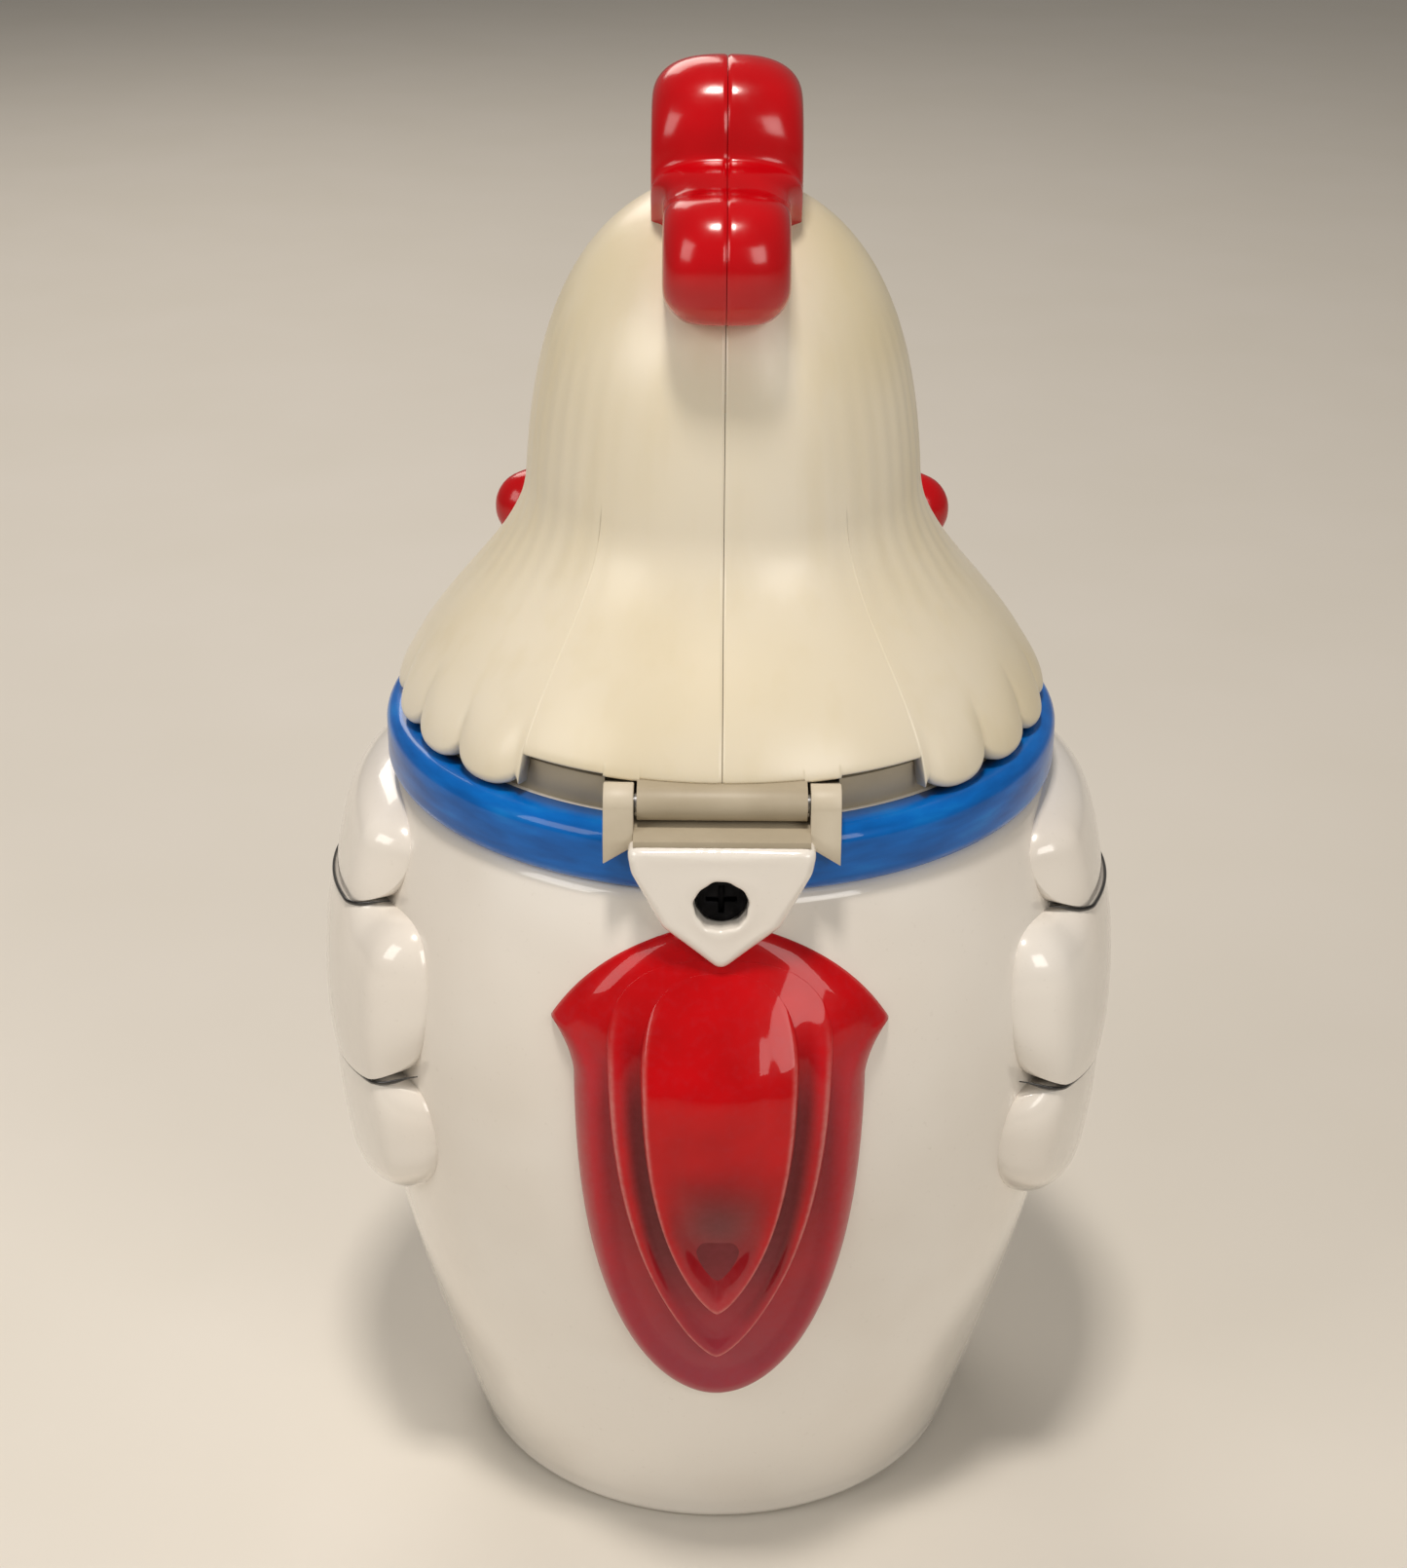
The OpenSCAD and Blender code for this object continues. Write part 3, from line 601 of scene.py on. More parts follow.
def makeTailLayer(name, node, loop, low, high, height, material):
    # the outline is drawn in towards an upright spine; s is 1 at the edge, 0 on the spine
    spine = np.clip(loop[:, 1], low, high)
    # the rows run out along the buried back, over the edge and in along the front
    backRows = 11
    s = 1 - np.concatenate([np.linspace(1, 0, backRows), [0, 0.003, 0.007], np.linspace(0.012, 0.16, 20),
                            np.linspace(0.18, 1, 40)])
    s = s[:, None]
    x = loop[:, 0] * s
    z = spine + (loop[:, 1] - spine) * s
    h, lip, hollowShade = height(s, x, z)
    # y = sqrt((jar radius + height)^2 - x^2)
    h = np.concatenate([np.full((backRows, len(loop)), -tailSizes["bury"]), h[backRows:]])
    reach = np.sqrt(np.maximum((jarRadius(z) + h) ** 2 - x ** 2, 0))
    grid = np.stack([x, reach, z], -1)
    rows, cols = grid.shape[:2]
    points = grid.reshape(-1, 3)
    faces = gridFaces(rows, cols, wrapCols=True)
    drop = 1 - smoothStep(z, tailSizes["tip"] + 2 * mm, tailSizes["tip"] + 44 * mm)
    edge = smoothStep(np.abs(x), 9 * mm, 19 * mm) * (1 - smoothStep(z, 84 * mm, 96 * mm))
    fade = np.clip(0.95 * drop ** 1.3 + 0.45 * edge, 0, 1) * np.ones_like(z)
    full = np.ones_like(z)
    # the hollow attribute carries painted shade into the red underglaze
    newPiece(name, points, faces, "jar", material, [node],
             {"lip": (lip * full).ravel(), "fade": fade.ravel(), "hollowShade": (hollowShade * full).ravel()})


def edgeRise(s, height, width):
    # a rounded edge: a quarter circle that climbs to its height over the given share of s
    t = np.clip((1 - s) / width, 0, 1)
    return height * np.sqrt(np.clip(1 - (1 - t) ** 2, 0, 1))


def makeTail(material):
    t = tailSizes
    tip, wide, w = t["tip"], t["tip"] + t["sideLength"], t["halfWidth"]

    def dome(x, z):
        # the level that all three layers share: fuller towards the top and the middle
        full = smoothStep(z, tip + 16 * mm, tip + 50 * mm) * (1 - smoothStep(z, 87 * mm, 104 * mm))
        level = t["level"] - 0.9 * mm * smoothStep(z, 90 * mm, 105 * mm)
        return level + t["dome"] * np.clip(1 - (x / t["domeWidth"]) ** 2, 0, 1) * full

    def outerHeight(s, x, z):
        # a soft shoulder that dips as it nears the next layer; the dip dies away upwards
        ridged = 1 - smoothStep(z, 79 * mm, 95 * mm)
        h = edgeRise(s, 1.0, 0.12) * dome(x, z) - 1.0 * mm * smoothStep(1 - s, 0.10, 0.26) * ridged
        # pale lip: partly glaze breaking thin, partly a painted highlight along the shoulder
        lip = 0.12 * np.exp(-((1 - s - 0.06) / 0.05) ** 2) * ridged
        # painted shade: darker red in the dip beside the next layer
        hollowShade = smoothStep(1 - s, 0.12, 0.25) * (0.2 + 0.5 * smoothStep(z, 50 * mm, 75 * mm)) * ridged
        return h, lip, hollowShade

    def middleHeight(s, x, z):
        # a crisp lip, then a scooped channel
        ridged = 1 - smoothStep(z, 81 * mm, 97 * mm)
        crest = edgeRise(s, 1.0, 0.05) * (1 - 0.9 * smoothStep(1 - s, 0.05, 0.24))
        rise = t["middleLip"] * crest - 0.25 * mm * smoothStep(1 - s, 0.05, 0.3)
        h = dome(x, z) + 0.04 * mm + ridged * rise
        # pale lip: partly glaze breaking thin, partly a painted highlight along the crest
        lip = np.exp(-((1 - s - 0.035) / 0.022) ** 2) * ridged
        # painted shade: darker red in the scooped channel
        hollowShade = smoothStep(1 - s, 0.08, 0.22) * (0.35 + 0.65 * smoothStep(z, 45 * mm, 60 * mm)) * ridged
        return h, lip, hollowShade

    def innerHeight(s, x, z):
        # a lip round a spoon: full and round above, scooped out towards the tip
        ridged = 1 - smoothStep(z, 83 * mm, 98 * mm)
        low = 1 - smoothStep(z, tip + 24 * mm, tip + 44 * mm)
        crest = edgeRise(s, 1.0, 0.06)
        keep = 1 - (0.25 + 0.75 * low) * smoothStep(1 - s, 0.06, 0.45)
        h = dome(x, z) + 0.08 * mm + ridged * t["innerLip"] * crest * keep
        h = h - t["spoon"] * low * smoothStep(1 - s, 0.1, 0.7)
        h = h + 0.5 * mm * ridged * (1 - low) * smoothStep(1 - s, 0.0, 0.6)
        # pale lip: partly glaze breaking thin, partly a painted highlight along the crest, and paler near the
        # tip
        lip = np.exp(-((1 - s - 0.05) / 0.03) ** 2) * ridged
        lip = lip + 0.2 * (1 - smoothStep(z, tip + 19 * mm, tip + 30 * mm))
        # painted shade: a dark patch in the middle of the spoon
        band = np.exp(-((z - tip - 35 * mm) / (9 * mm)) ** 2)
        hollowShade = band * np.exp(-(x / (6.5 * mm)) ** 2) * smoothStep(1 - s, 0.05, 0.3)
        return h, np.clip(lip, 0, 1), hollowShade

    top = t["top"]
    loops = [featherLoop(tip, wide, w, 0.52, top, (w - 4 * mm, top - 3 * mm), (w + 3 * mm, wide + 7 * mm))]
    for f in (t["middle"], t["inner"]):
        loops.append(featherLoop(tip + f["tip"], wide + f["wide"], w - f["narrower"], 0.7, top - f["top"]))
    names = (("tailOuterFeather", "tail_base"), ("tailMiddleFeather", "tail_layer"),
             ("tailInnerFeather", "tail_feather"))
    heights = (outerHeight, middleHeight, innerHeight)
    for (name, node), loop, (low, high), height in zip(names, loops, t["spines"], heights):
        makeTailLayer(name, node, loop, tip + low, wide + high, height, material)


# edges are the heights that bound the feathers and rise their slope in mm a degree; front and back
# are degrees round the jar from its side; bulge is how far each feather stands out, in mm
wingSizes = {"edges": (shoulderZ + 1 * mm, 92 * mm, 64.5 * mm, 40 * mm), "rise": (-0.02, 0.115, 0.21, 0.3),
             "bulge": (5.4, 5.9, 5.5), "front": -52, "back": (28, 39, 40), "freeEnd": 5, "creaseEnd": 14,
             "creaseDepth": 0.13, "roll": 8.0, "levelFrom": -12, "bury": 0.6 * mm}


def wingEdge(k, a):
    # level at the front, then climbing evenly towards the back
    w = wingSizes
    return w["edges"][k] + w["rise"][k] * mm * np.maximum(a, w["levelFrom"])


def wingThickness(k, a, v):
    # how far a feather stands out: nearly level across, dropping a little into the
    # crease it shares with a neighbour, all the way to the jar where it has none,
    # and rolling softly onto the jar at both ends
    w = wingSizes
    above = w["back"][k - 1] if k > 0 else -999
    below = w["back"][k + 1] if k < 2 else -999
    openTop = smoothStep(a, above - 8, above - 1) if k > 0 else np.ones_like(a)
    openLow = smoothStep(a, below - 8, below - 1) if k < 2 else np.ones_like(a)
    free = np.where(v > 0, openTop, openLow)
    drop = w["creaseDepth"] + (1 - w["creaseDepth"]) * free
    across = np.clip(1 - drop * np.abs(v) ** 3.6, 0, 1) ** 0.62
    near = np.minimum(a - w["front"], w["back"][k] - a)
    ends = np.sin(pi / 2 * np.clip(near / w["roll"], 0, 1)) ** 0.9
    return w["bulge"][k] * mm * across * ends


def wingPoint(k, u, v, outer, side):
    # u runs from front to back, v from the feather's lower edge to its upper one
    w = wingSizes
    a = w["front"] + (w["back"][k] - w["front"]) * u
    low, high = wingEdge(k + 1, a), np.minimum(shoulderZ - 0.4 * mm, wingEdge(k, a))
    free = np.where(v > 0, k == 0, k == 2)
    power = np.where(free, w["freeEnd"], w["creaseEnd"])
    ends = np.sqrt(np.clip(1 - np.abs(2 * u - 1) ** power, 0, 1))
    z = (low + high) / 2 + v * ends * (high - low) / 2
    r = jarRadius(z) - w["bury"] + np.where(outer, wingThickness(k, a, v) + 0.5 * mm, 0)
    turn = np.radians(a)
    return np.stack([side * r * np.cos(turn), r * np.sin(turn), z], -1)


def makeWings(white, black):
    # each ring goes up the feather's face and comes down its buried back
    faceCount = 44
    u = (1 - np.cos(np.linspace(0, pi, 90)[1:-1])) / 2
    v = np.sin(np.linspace(-pi / 2, pi / 2, faceCount))
    v = np.concatenate([v, v[::-1][::2]])
    outer = np.arange(len(v)) < faceCount
    names = ("upper", "middle", "lower")
    for side, word in ((1, "left"), (-1, "right")):
        for k in range(3):
            rings = wingPoint(k, u[:, None], v[None, :], outer[None, :], side)
            ends = [wingPoint(k, np.array(e), np.array(0.0), np.array(False), side) for e in (0.0, 1.0)]
            points, faces = ringsToPiece(rings, ends[0], ends[1])
            newPiece(f"{word}Wing{names[k].capitalize()}Feather", points, faces, "jar", white,
                     [f"wing_{word}_{names[k]}"])
        for k in (1, 2):
            makeFeatherLine(f"{word}FeatherLine{k}", k, side, black)


# length and the gap before the feather's end in degrees round the jar
lineSizes = {"length": 60.0, "width": 0.36 * mm, "gap": 2.0, "lift": 0.8 * mm}


def makeFeatherLine(name, k, side, material):
    # a brush stroke in the crease: thick at the feather's tip, thinning to nothing forwards
    s = lineSizes
    back = min(wingSizes["back"][k - 1], wingSizes["back"][k]) - s["gap"]
    t = np.linspace(0, 1, 80)
    a = back - s["length"] * t
    z = wingEdge(k, a) + s["lift"] * (1 - smoothStep(t, 0.0, 0.06))
    r = jarRadius(z) + wingThickness(k, a, np.full_like(a, 1.0)) + 0.02 * mm
    half = s["width"] * (1 - t) ** 0.6 * np.clip(t / 0.04, 0.3, 1)
    turn = np.radians(a)
    across = np.linspace(0, 2 * pi, 12, endpoint=False)
    rr = r[:, None] + half[:, None] * 0.9 * np.cos(across)
    zz = z[:, None] + half[:, None] * np.sin(across)
    rings = np.stack([side * rr * np.cos(turn)[:, None], rr * np.sin(turn)[:, None], zz], -1)[:-1]
    tipPoint = np.array([side * r[-1] * math.cos(turn[-1]), r[-1] * math.sin(turn[-1]), z[-1]])
    points, faces = ringsToPiece(rings, rings[0].mean(0), tipPoint)
    newPiece(name, points, faces, "jar", material)


headSizes = {"height": 73.2 * mm, "rimRadius": 45 * mm, "crownRadius": 27.5 * mm, "flare": 33 * mm,
             "wall": 2 * mm, "notchHalf": 26.8 * mm, "notchHeight": 5.8 * mm, "lobes": 24,
             "lobeDepth": 3.0 * mm, "lobePuff": 1.5 * mm, "puffHeight": 11.5 * mm, "curl": 1.7 * mm,
             "flute": 0.05 * mm, "seamDepth": 0.16 * mm, "seamWidth": 0.2 * mm, "seamGap": 0.04 * mm,
             "earSpan": (10.9 * mm, 15.8 * mm), "earDrop": 0.3 * mm}
rimZ = float(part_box("head_left")[0][2])
crownZ = rimZ + headSizes["height"]


def headRadius(z):
    # a blunt dome with a flare that fades as a cosine
    s = headSizes
    u = np.clip((z - rimZ) / s["height"], 0, 1)
    v = np.clip((z - rimZ) / s["flare"], 0, 1)
    dome = s["crownRadius"] * np.sqrt(np.clip(1 - u ** 4.2, 0, 1))
    return dome + (s["rimRadius"] - s["crownRadius"]) * (1 + np.cos(pi * v)) / 2


def lobeWave(angle):
    # one at the middle of each feather tip, falling to zero in the cut between two
    return np.abs(np.cos(angle * headSizes["lobes"] / 2)) ** 0.5


def besideNotch(angle):
    # zero over the notch for the hinge at the back, one everywhere else
    across = np.abs(headSizes["rimRadius"] * np.sin(angle)) + np.where(np.cos(angle) > 0, 0, 1)
    return smoothStep(across, headSizes["notchHalf"] - 0.3 * mm, headSizes["notchHalf"] + 2.5 * mm)


def rimEdge(angle):
    # the rim's lower edge: rounded feather tips, and the notch
    s = headSizes
    tips = s["lobeDepth"] * (1 - lobeWave(angle)) ** 1.3
    across = np.abs(s["rimRadius"] * np.sin(angle))
    behind = (np.cos(angle) > 0) & (across < s["notchHalf"])
    overEar = (across > s["earSpan"][0]) & (across < s["earSpan"][1])
    step = np.where(overEar, -s["earDrop"], 0)
    return np.where(behind, rimZ + s["notchHeight"] - 0.4 * mm + step, rimZ + tips)


def makeHeadHalf(name, node, side, material):
    s = headSizes
    # rows run from the seam at the back round to the seam at the front
    fine = np.concatenate([[0, 0.15, 0.35, 0.6, 0.9, 1.3], np.linspace(1.8, 178.2, 330),
                           [178.7, 179.1, 179.4, 179.65, 179.85, 180]])
    # a pair of rows at each step in the rim, so that the step is upright
    steps = np.degrees(np.arcsin(np.array([s["notchHalf"], *s["earSpan"]]) / s["rimRadius"]))
    angle = np.radians(np.sort(np.concatenate([fine, steps - 0.02, steps + 0.02])))[:, None]
    t = np.concatenate([np.linspace(0, 0.04, 14), np.linspace(0.045, 0.3, 46), np.linspace(0.31, 0.965, 80),
                        np.linspace(0.97, 1, 14)])[None, :]
    bottom = rimEdge(angle)
    z = bottom + (crownZ - bottom) * t
    rise, aboveEdge = z - rimZ, z - bottom
    beside = besideNotch(angle)
    # puffed feather tips, curled in at the edge, and soft flutes that die away upwards
    nearRim = 1 - smoothStep(rise, 2 * mm, s["puffHeight"])
    puff = s["lobePuff"] * (lobeWave(angle) - 0.45) * nearRim * beside
    curl = 1 - np.sqrt(1 - (1 - np.clip(aboveEdge / s["curl"], 0, 1)) ** 2)
    curl = curl * (0.25 * mm + (s["curl"] - 0.25 * mm) * beside)
    sideways = smoothStep(np.abs(np.sin(angle)), 0.35, 0.85)
    high = smoothStep(rise, 14 * mm, 26 * mm) * (1 - smoothStep(rise, 40 * mm, 62 * mm))
    flute = s["flute"] * np.cos(angle * s["lobes"] * 2 + 0.8 * np.sin(5 * angle)) * high * sideways
    r = headRadius(z) + puff - curl + flute
    seam = np.minimum(angle, pi - angle) * np.maximum(r, 1 * mm)
    r = r - s["seamDepth"] * np.exp(-(seam / s["seamWidth"]) ** 2)
    inside = z < crownZ - s["wall"]
    inner = np.maximum(headRadius(np.minimum(z, crownZ - s["wall"])) - s["wall"], 0) * inside
    inner = np.minimum(inner, r - 0.6 * mm * (z < crownZ - 3 * mm)).clip(0)

    def shell(radius, height):
        return np.stack([side * (radius * np.sin(angle) + s["seamGap"]), radius * np.cos(angle), height], -1)

    loop = np.concatenate([shell(r, z), shell(inner, np.minimum(z, crownZ - s["wall"]))[:, ::-1]], 1)
    rows, cols = loop.shape[:2]
    faces = gridFaces(rows, cols, wrapCols=True)
    # the two flat seam faces, each a ladder of quads between the outer and the inner wall
    j = np.arange(t.shape[1] - 1)
    ladder = np.stack([j, j + 1, cols - 2 - j, cols - 1 - j], -1)
    faces = np.concatenate([faces, ladder, ladder + (rows - 1) * cols])
    newPiece(name, loop.reshape(-1, 3), faces, "head", material, [node])


def blobMesh(name, balls, voxel, smoothing):
    # balls: (centre, radii) in mm; they are joined, skinned at the voxel size and relaxed
    work = bmesh.new()
    for centre, radii in balls:
        place = Matrix.Translation(Vector(centre) * mm) @ Matrix.Diagonal(Vector(radii) * mm).to_4x4()
        bmesh.ops.create_icosphere(work, subdivisions=4, radius=1, matrix=place)
    mesh = bpy.data.meshes.new(name)
    work.to_mesh(mesh)
    work.free()
    lump = bpy.data.objects.new(name + "Lump", mesh)
    bpy.context.scene.collection.objects.link(lump)
    return appliedCopy(name, lump, [("REMESH", {"mode": "VOXEL", "voxel_size": voxel * mm}),
                                    ("SMOOTH", {"factor": 0.5, "iterations": smoothing})])


def chain(points, radii, spacing):
    # balls strung along a line of points, with their radii blended between them
    points, radii = np.asarray(points, float), np.asarray(radii, float)
    steps = np.linalg.norm(np.diff(points, axis=0), axis=1)
    length = np.concatenate([[0], np.cumsum(steps)])
    s = np.linspace(0, length[-1], max(2, int(length[-1] / spacing) + 1))
    centre = np.stack([np.interp(s, length, points[:, i]) for i in range(3)], -1)
    size = np.stack([np.interp(s, length, radii[:, i]) for i in range(3)], -1)
    return list(zip(centre.tolist(), size.tolist()))


crownMm = crownZ / mm
# lobes as (y, height above the crown, radius, half thickness), from back to front
combSizes = {
    "lobes": [(22.4, -5.4, 8.3, 8.05), (3.6, 6.8, 9.6, 9.75), (-13, 4, 7.8, 8.4), (-25, -6, 6.4, 6.8)],
    "fillers": [(14.0, -3.0, 7.8), (-5, 0, 8.0), (-19, -4, 6.0)],
    "centre": (-1.0, -16.0), "innerRadius": 9.0, "cap": 7.0, "squareness": 2.7, "blend": 0.7,
    "seamGap": 0.03, "seamEase": 0.16, "seamWidth": 0.2, "rootNarrowing": 0.34, "farthest": 52}


def combOutline(angle):
    # along each ray from the comb's centre, the last place inside the joined lobes
    s = combSizes
    reach = np.linspace(s["innerRadius"], s["farthest"], 900)
    y = s["centre"][0] + reach * np.cos(angle)[:, None]
    z = s["centre"][1] + reach * np.sin(angle)[:, None]
    total = np.zeros_like(y)
    for ball in s["lobes"] + s["fillers"]:
        total += np.exp(-(np.hypot(y - ball[0], z - ball[1]) - ball[2]) / s["blend"])
    inside = total > 1
    inside[:, 0] = True
    last = len(reach) - 1 - np.argmax(inside[:, ::-1], 1)
    return reach[last]


def makeComb(material):
    s = combSizes
    angle = np.radians(np.linspace(-4, 186, 420))
    outline = combOutline(angle)
    kernel = np.hanning(9) / np.hanning(9).sum()
    outline = np.convolve(np.pad(outline, 4, mode="edge"), kernel, mode="valid")
    lobeAngles = [math.atan2(b[1] - s["centre"][1], b[0] - s["centre"][0]) for b in s["lobes"]]
    half = np.full_like(angle, s["lobes"][0][3])
    for before, after, a0, a1 in zip(s["lobes"], s["lobes"][1:], lobeAngles, lobeAngles[1:]):
        middle = a0 + 0.47 * (a1 - a0)
        half = half + (after[3] - before[3]) * smoothStep(angle, middle - 0.07, middle + 0.07)
    half = half * (1 - s["rootNarrowing"] * (1 - smoothStep(angle, math.radians(4), math.radians(19))) ** 2)
    # across: from the seam out over the rounded cap, then down the flat side
    p = s["squareness"]
    across = np.sin(np.radians(np.linspace(3.5, 90, 34))) ** (2 / p)
    across = np.concatenate([[0.001, 0.006, 0.014, 0.03, 0.06], across])
    fall = 1 - np.clip(1 - across ** p, 0, 1) ** (1 / p)
    x = half[:, None] * across
    ease = s["seamEase"] * np.exp(-((x - s["seamGap"]) / s["seamWidth"]) ** 2)
    reach = outline[:, None] - s["cap"] * fall - ease
    low = np.full((len(angle), 1), s["innerRadius"])
    wall = reach[:, -1:] + (low - reach[:, -1:]) * np.array([0.15, 0.3, 0.5, 0.75, 1.0])
    reach = np.maximum(np.concatenate([low, reach, wall], 1), s["innerRadius"])
    x = np.concatenate([np.zeros_like(low), x, half[:, None] * np.ones(5)], 1) + s["seamGap"]
    y = s["centre"][0] + reach * np.cos(angle)[:, None]
    z = crownMm + s["centre"][1] + reach * np.sin(angle)[:, None]
    for side, word in ((1, "left"), (-1, "right")):
        rings = np.stack([side * x, y, z], -1) * mm
        points, faces = ringsToPiece(rings, rings[0].mean(0), rings[-1].mean(0))
        newPiece(word + "Comb", points, faces, "head", material, [f"comb_{word}"])


# half sizes of the drop in mm at its root, its middle and its tip
wattleSizes = {"root": (2.5, 2.2, 2.8), "middle": (3.7, 2.8, 4.1), "tip": (5.2, 4.4, 5.3), "voxel": 0.5}


def makeWattles(material):
    w = wattleSizes
    for side, word in ((1, "left"), (-1, "right")):
        low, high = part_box(f"wattle_{word}")
        tipX = float(high[0] if side > 0 else -low[0]) / mm - 5.4
        tipZ, topZ = float(low[2]) / mm + 5.3, float(high[2]) / mm - 4.2
        line = [(side * 6.5, -31.5, topZ), (side * (tipX * 0.5), -30.0, topZ - 3), (side * tipX, -22.4, tipZ)]
        balls = chain(line, [w["root"], w["middle"], w["tip"]], 1.0)
        mesh = blobMesh(word + "WattleBlank", balls, w["voxel"], 8)
        finishPiece(word + "Wattle", mesh, "head", material, [f"wattle_{word}"])


# for each half: which face of its box it starts from, how far its line rises from there, how far
# its tip stays back, and its half sizes from root to tip, all in mm
beakSizes = {"upper": {"face": 0, "rise": (3.4, 2.8, 1.0), "tipBack": 1.6,
                       "radii": [(6.9, 4, 4.6), (4.6, 3, 2.9), (1.2, 1.3, 0.9)]},
             "lower": {"face": 1, "rise": (-2.2, -1.9, -1.1), "tipBack": 1.4,
                       "radii": [(5.2, 3, 2.2), (3.6, 2.5, 1.7), (1.1, 1.2, 0.8)]}}


def makeBeak(material):
    for word, b in beakSizes.items():
        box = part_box(f"beak_{word}")
        z, tip, back = float(box[b["face"]][2]) / mm, float(box[0][1]) / mm, float(box[1][1]) / mm
        places = (back - 1, (back + tip) / 2, tip + b["tipBack"])
        line = [(0, y, z + rise) for y, rise in zip(places, b["rise"])]
        mesh = blobMesh(f"beak{word.capitalize()}", chain(line, b["radii"], 0.7), 0.35, 8)
        finishPiece(f"{word}Beak", mesh, "head", material, [f"beak_{word}"])


eyeSizes = {"whiteDepth": 0.42, "pupilDepth": 0.34, "bury": 1.2 * mm, "around": 64}


def makeEyes(white, black):
    # domes set square to the head's side: height falls off as a quarter circle
    s = eyeSizes
    for node, name in (("eye_left", "eyeLeft"), ("eye_right", "eyeRight"),
                       ("pupil_left", "pupilLeft"), ("pupil_right", "pupilRight")):
        isWhite = name.startswith("eye")
        finish, slotName = (white, "eye_white") if isWhite else (black, "pupil_black")
        low, high = (np.array(c, float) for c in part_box(node))
        centre = (low + high) / 2
        outward = np.array([centre[0], centre[1], 0]) / math.hypot(centre[0], centre[1])
        side = np.array([-outward[1], outward[0], 0])
        radius = (high[2] - low[2]) / 2
        depth = radius * (s["whiteDepth"] if isWhite else s["pupilDepth"])
        onHead, onEye = float(headRadius(centre[2])) - 0.4 * mm, math.hypot(centre[0], centre[1]) - 0.2 * mm
        seat = onHead if isWhite else onEye
        rim = np.linspace(0, pi / 2, 24)[:-1]
        around = np.linspace(0, 2 * pi, s["around"], endpoint=False)
        reach = radius * np.cos(rim)[:, None]
        lift = depth * np.sin(rim)[:, None] * np.ones_like(around)
        lift = np.concatenate([np.full((1, s["around"]), -s["bury"]), lift])
        reach = np.concatenate([reach[:1], reach])
        up = reach * np.sin(around)
        along = reach * np.cos(around)
        rings = (outward * seat)[None, None] + outward * lift[..., None] + side * along[..., None]
        rings[..., 2] += up + centre[2]
        ends = [outward * (seat + out) + (0, 0, centre[2]) for out in (-s["bury"], depth)]
        points, faces = ringsToPiece(rings, ends[0], ends[1])
        newPiece(name, points, faces, "head", finish, [node])


# the small mouldings and the hardware keep their exact shape, with eased edges: node, name, body,
# slot, finish and the width of the ease in mm
hardware = [
    ("neck_ring", "neckRing", "jar", "ring_beige", "ring", 0.3),
    ("hinge_ear_left", "leftHingeEar", "jar", "ring_beige", "ear", 0.3),
    ("hinge_ear_right", "rightHingeEar", "jar", "ring_beige", "ear", 0.3),
    ("lid_plate", "lidPlate", "head", "ring_beige", "ring", 0.4),
    ("lid_gasket", "lidSeal", "head", "seal", "seal", 0.1),
    ("hinge_pin", "hingePin", "jar", "steel", "steel", 0.2),
    ("hinge_screw", "hingeScrew", "jar", "steel", "blackSteel", 0.15),
    ("hinge_nut", "hingeNut", "jar", "steel", "steel", 0.3)]
hardware += [(f"plate_screw_{i}", f"plateScrew{i}", "head", "steel", "steel", 0.1) for i in (1, 2, 3, 4)]


easeAbove, smoothBelow = math.radians(35), math.radians(38)


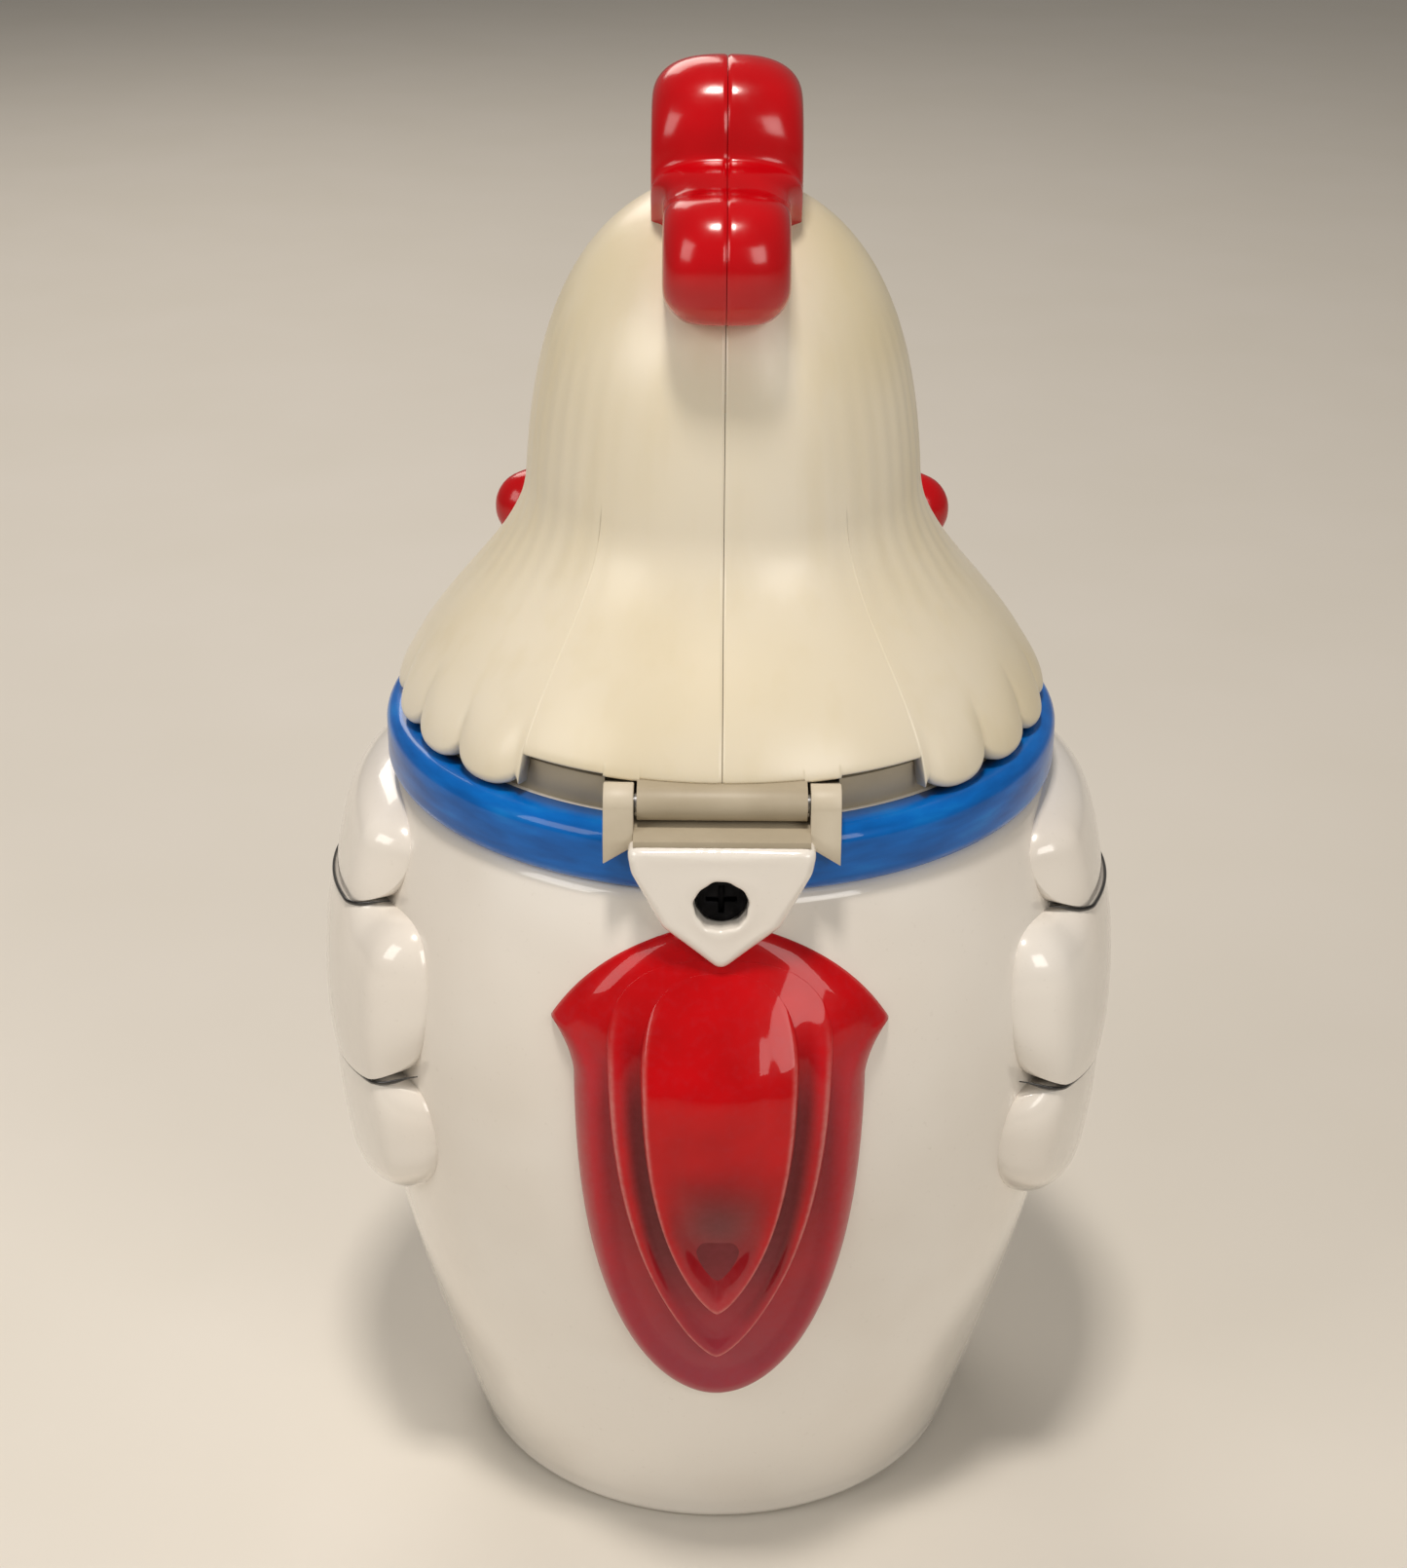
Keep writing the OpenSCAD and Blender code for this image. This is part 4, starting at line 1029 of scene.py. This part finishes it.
def makeHardware(finishes):
    for node, name, body, slotName, finish, ease in hardware:
        work = bmesh.new()
        work.from_mesh(nodes[node].data)
        bmesh.ops.remove_doubles(work, verts=work.verts, dist=weld)
        bmesh.ops.dissolve_limit(work, angle_limit=math.radians(1), verts=work.verts, edges=work.edges)
        mesh = bpy.data.meshes.new(name)
        work.to_mesh(mesh)
        work.free()
        part = bpy.data.objects.new(name + "Blank", mesh)
        bpy.context.scene.collection.objects.link(part)
        bevel = {"width": ease * mm, "segments": 2, "limit_method": "ANGLE", "angle_limit": easeAbove}
        mesh = appliedCopy(name, part, [("BEVEL", bevel)])
        mesh.materials.clear()
        piece = finishPiece(name, mesh, body, finishes[finish], [node])
        if piece.data.attributes.get("sharp_edge") is None:
            piece.data.set_sharp_from_angle(angle=smoothBelow)


floorReach = 3.0    # metres to each side


def makeFloor():
    mesh = bpy.data.meshes.new("floor")
    corners = np.array([(-1, -1, 0), (1, -1, 0), (1, 1, 0), (-1, 1, 0)]) * floorReach
    mesh.from_pydata(corners.tolist(), [], [(0, 1, 2, 3)])
    floor = bpy.data.objects.new("floor", mesh)
    mesh.materials.append(pressedFloor())
    bpy.context.scene.collection.objects.link(floor)


makeCamera()
makeLights()
makeFloor()
print("camera, lights and floor are in place")

whiteGlaze = glazedWhite()
blackStroke = brushedBlack()
redComb = combPlastic()
makeJar(whiteGlaze)
makeCollar(glazedBlue())
makeBoss(whiteGlaze)
print("jar, collar and boss are thrown")
makeTail(glazedRed())
makeWings(whiteGlaze, blackStroke)
print("tail and wings are laid on")
creamShell = agedAbs()
makeHeadHalf("leftHeadShell", "head_left", 1, creamShell)
makeHeadHalf("rightHeadShell", "head_right", -1, creamShell)
makeComb(redComb)
makeWattles(redComb)
makeBeak(plainGloss("yellowAbs", "#E59A1E", "#F0A92C", 0.28))
makeEyes(plainGloss("whiteEyeAbs", "#ECE9E2", "#F6F3EE", 0.12),
         plainGloss("blackEyeAbs", "#0A0A0C", "#141416", 0.08))
print("head, comb, wattles and face are moulded")
# painted shade: the ring finish is the ears' beige darkened for the shadow under the head's rim
makeHardware({"ring": ringAbs("shadowDarkenedBeigeAbs", "#A99D86", "#B3A892"),
              "ear": ringAbs("paleBeigeAbs", "#BFB49E", "#D0C6B2"), "seal": siliconeSeal(),
              "steel": platedSteel("zincPlatedSteel", "#A9ABAE", "#C6C8CA", 0.32),
              "blackSteel": platedSteel("blackOxideSteel", "#131314", "#1E1E20", 0.5)})
print("hinge, lid plate and screws are fitted")
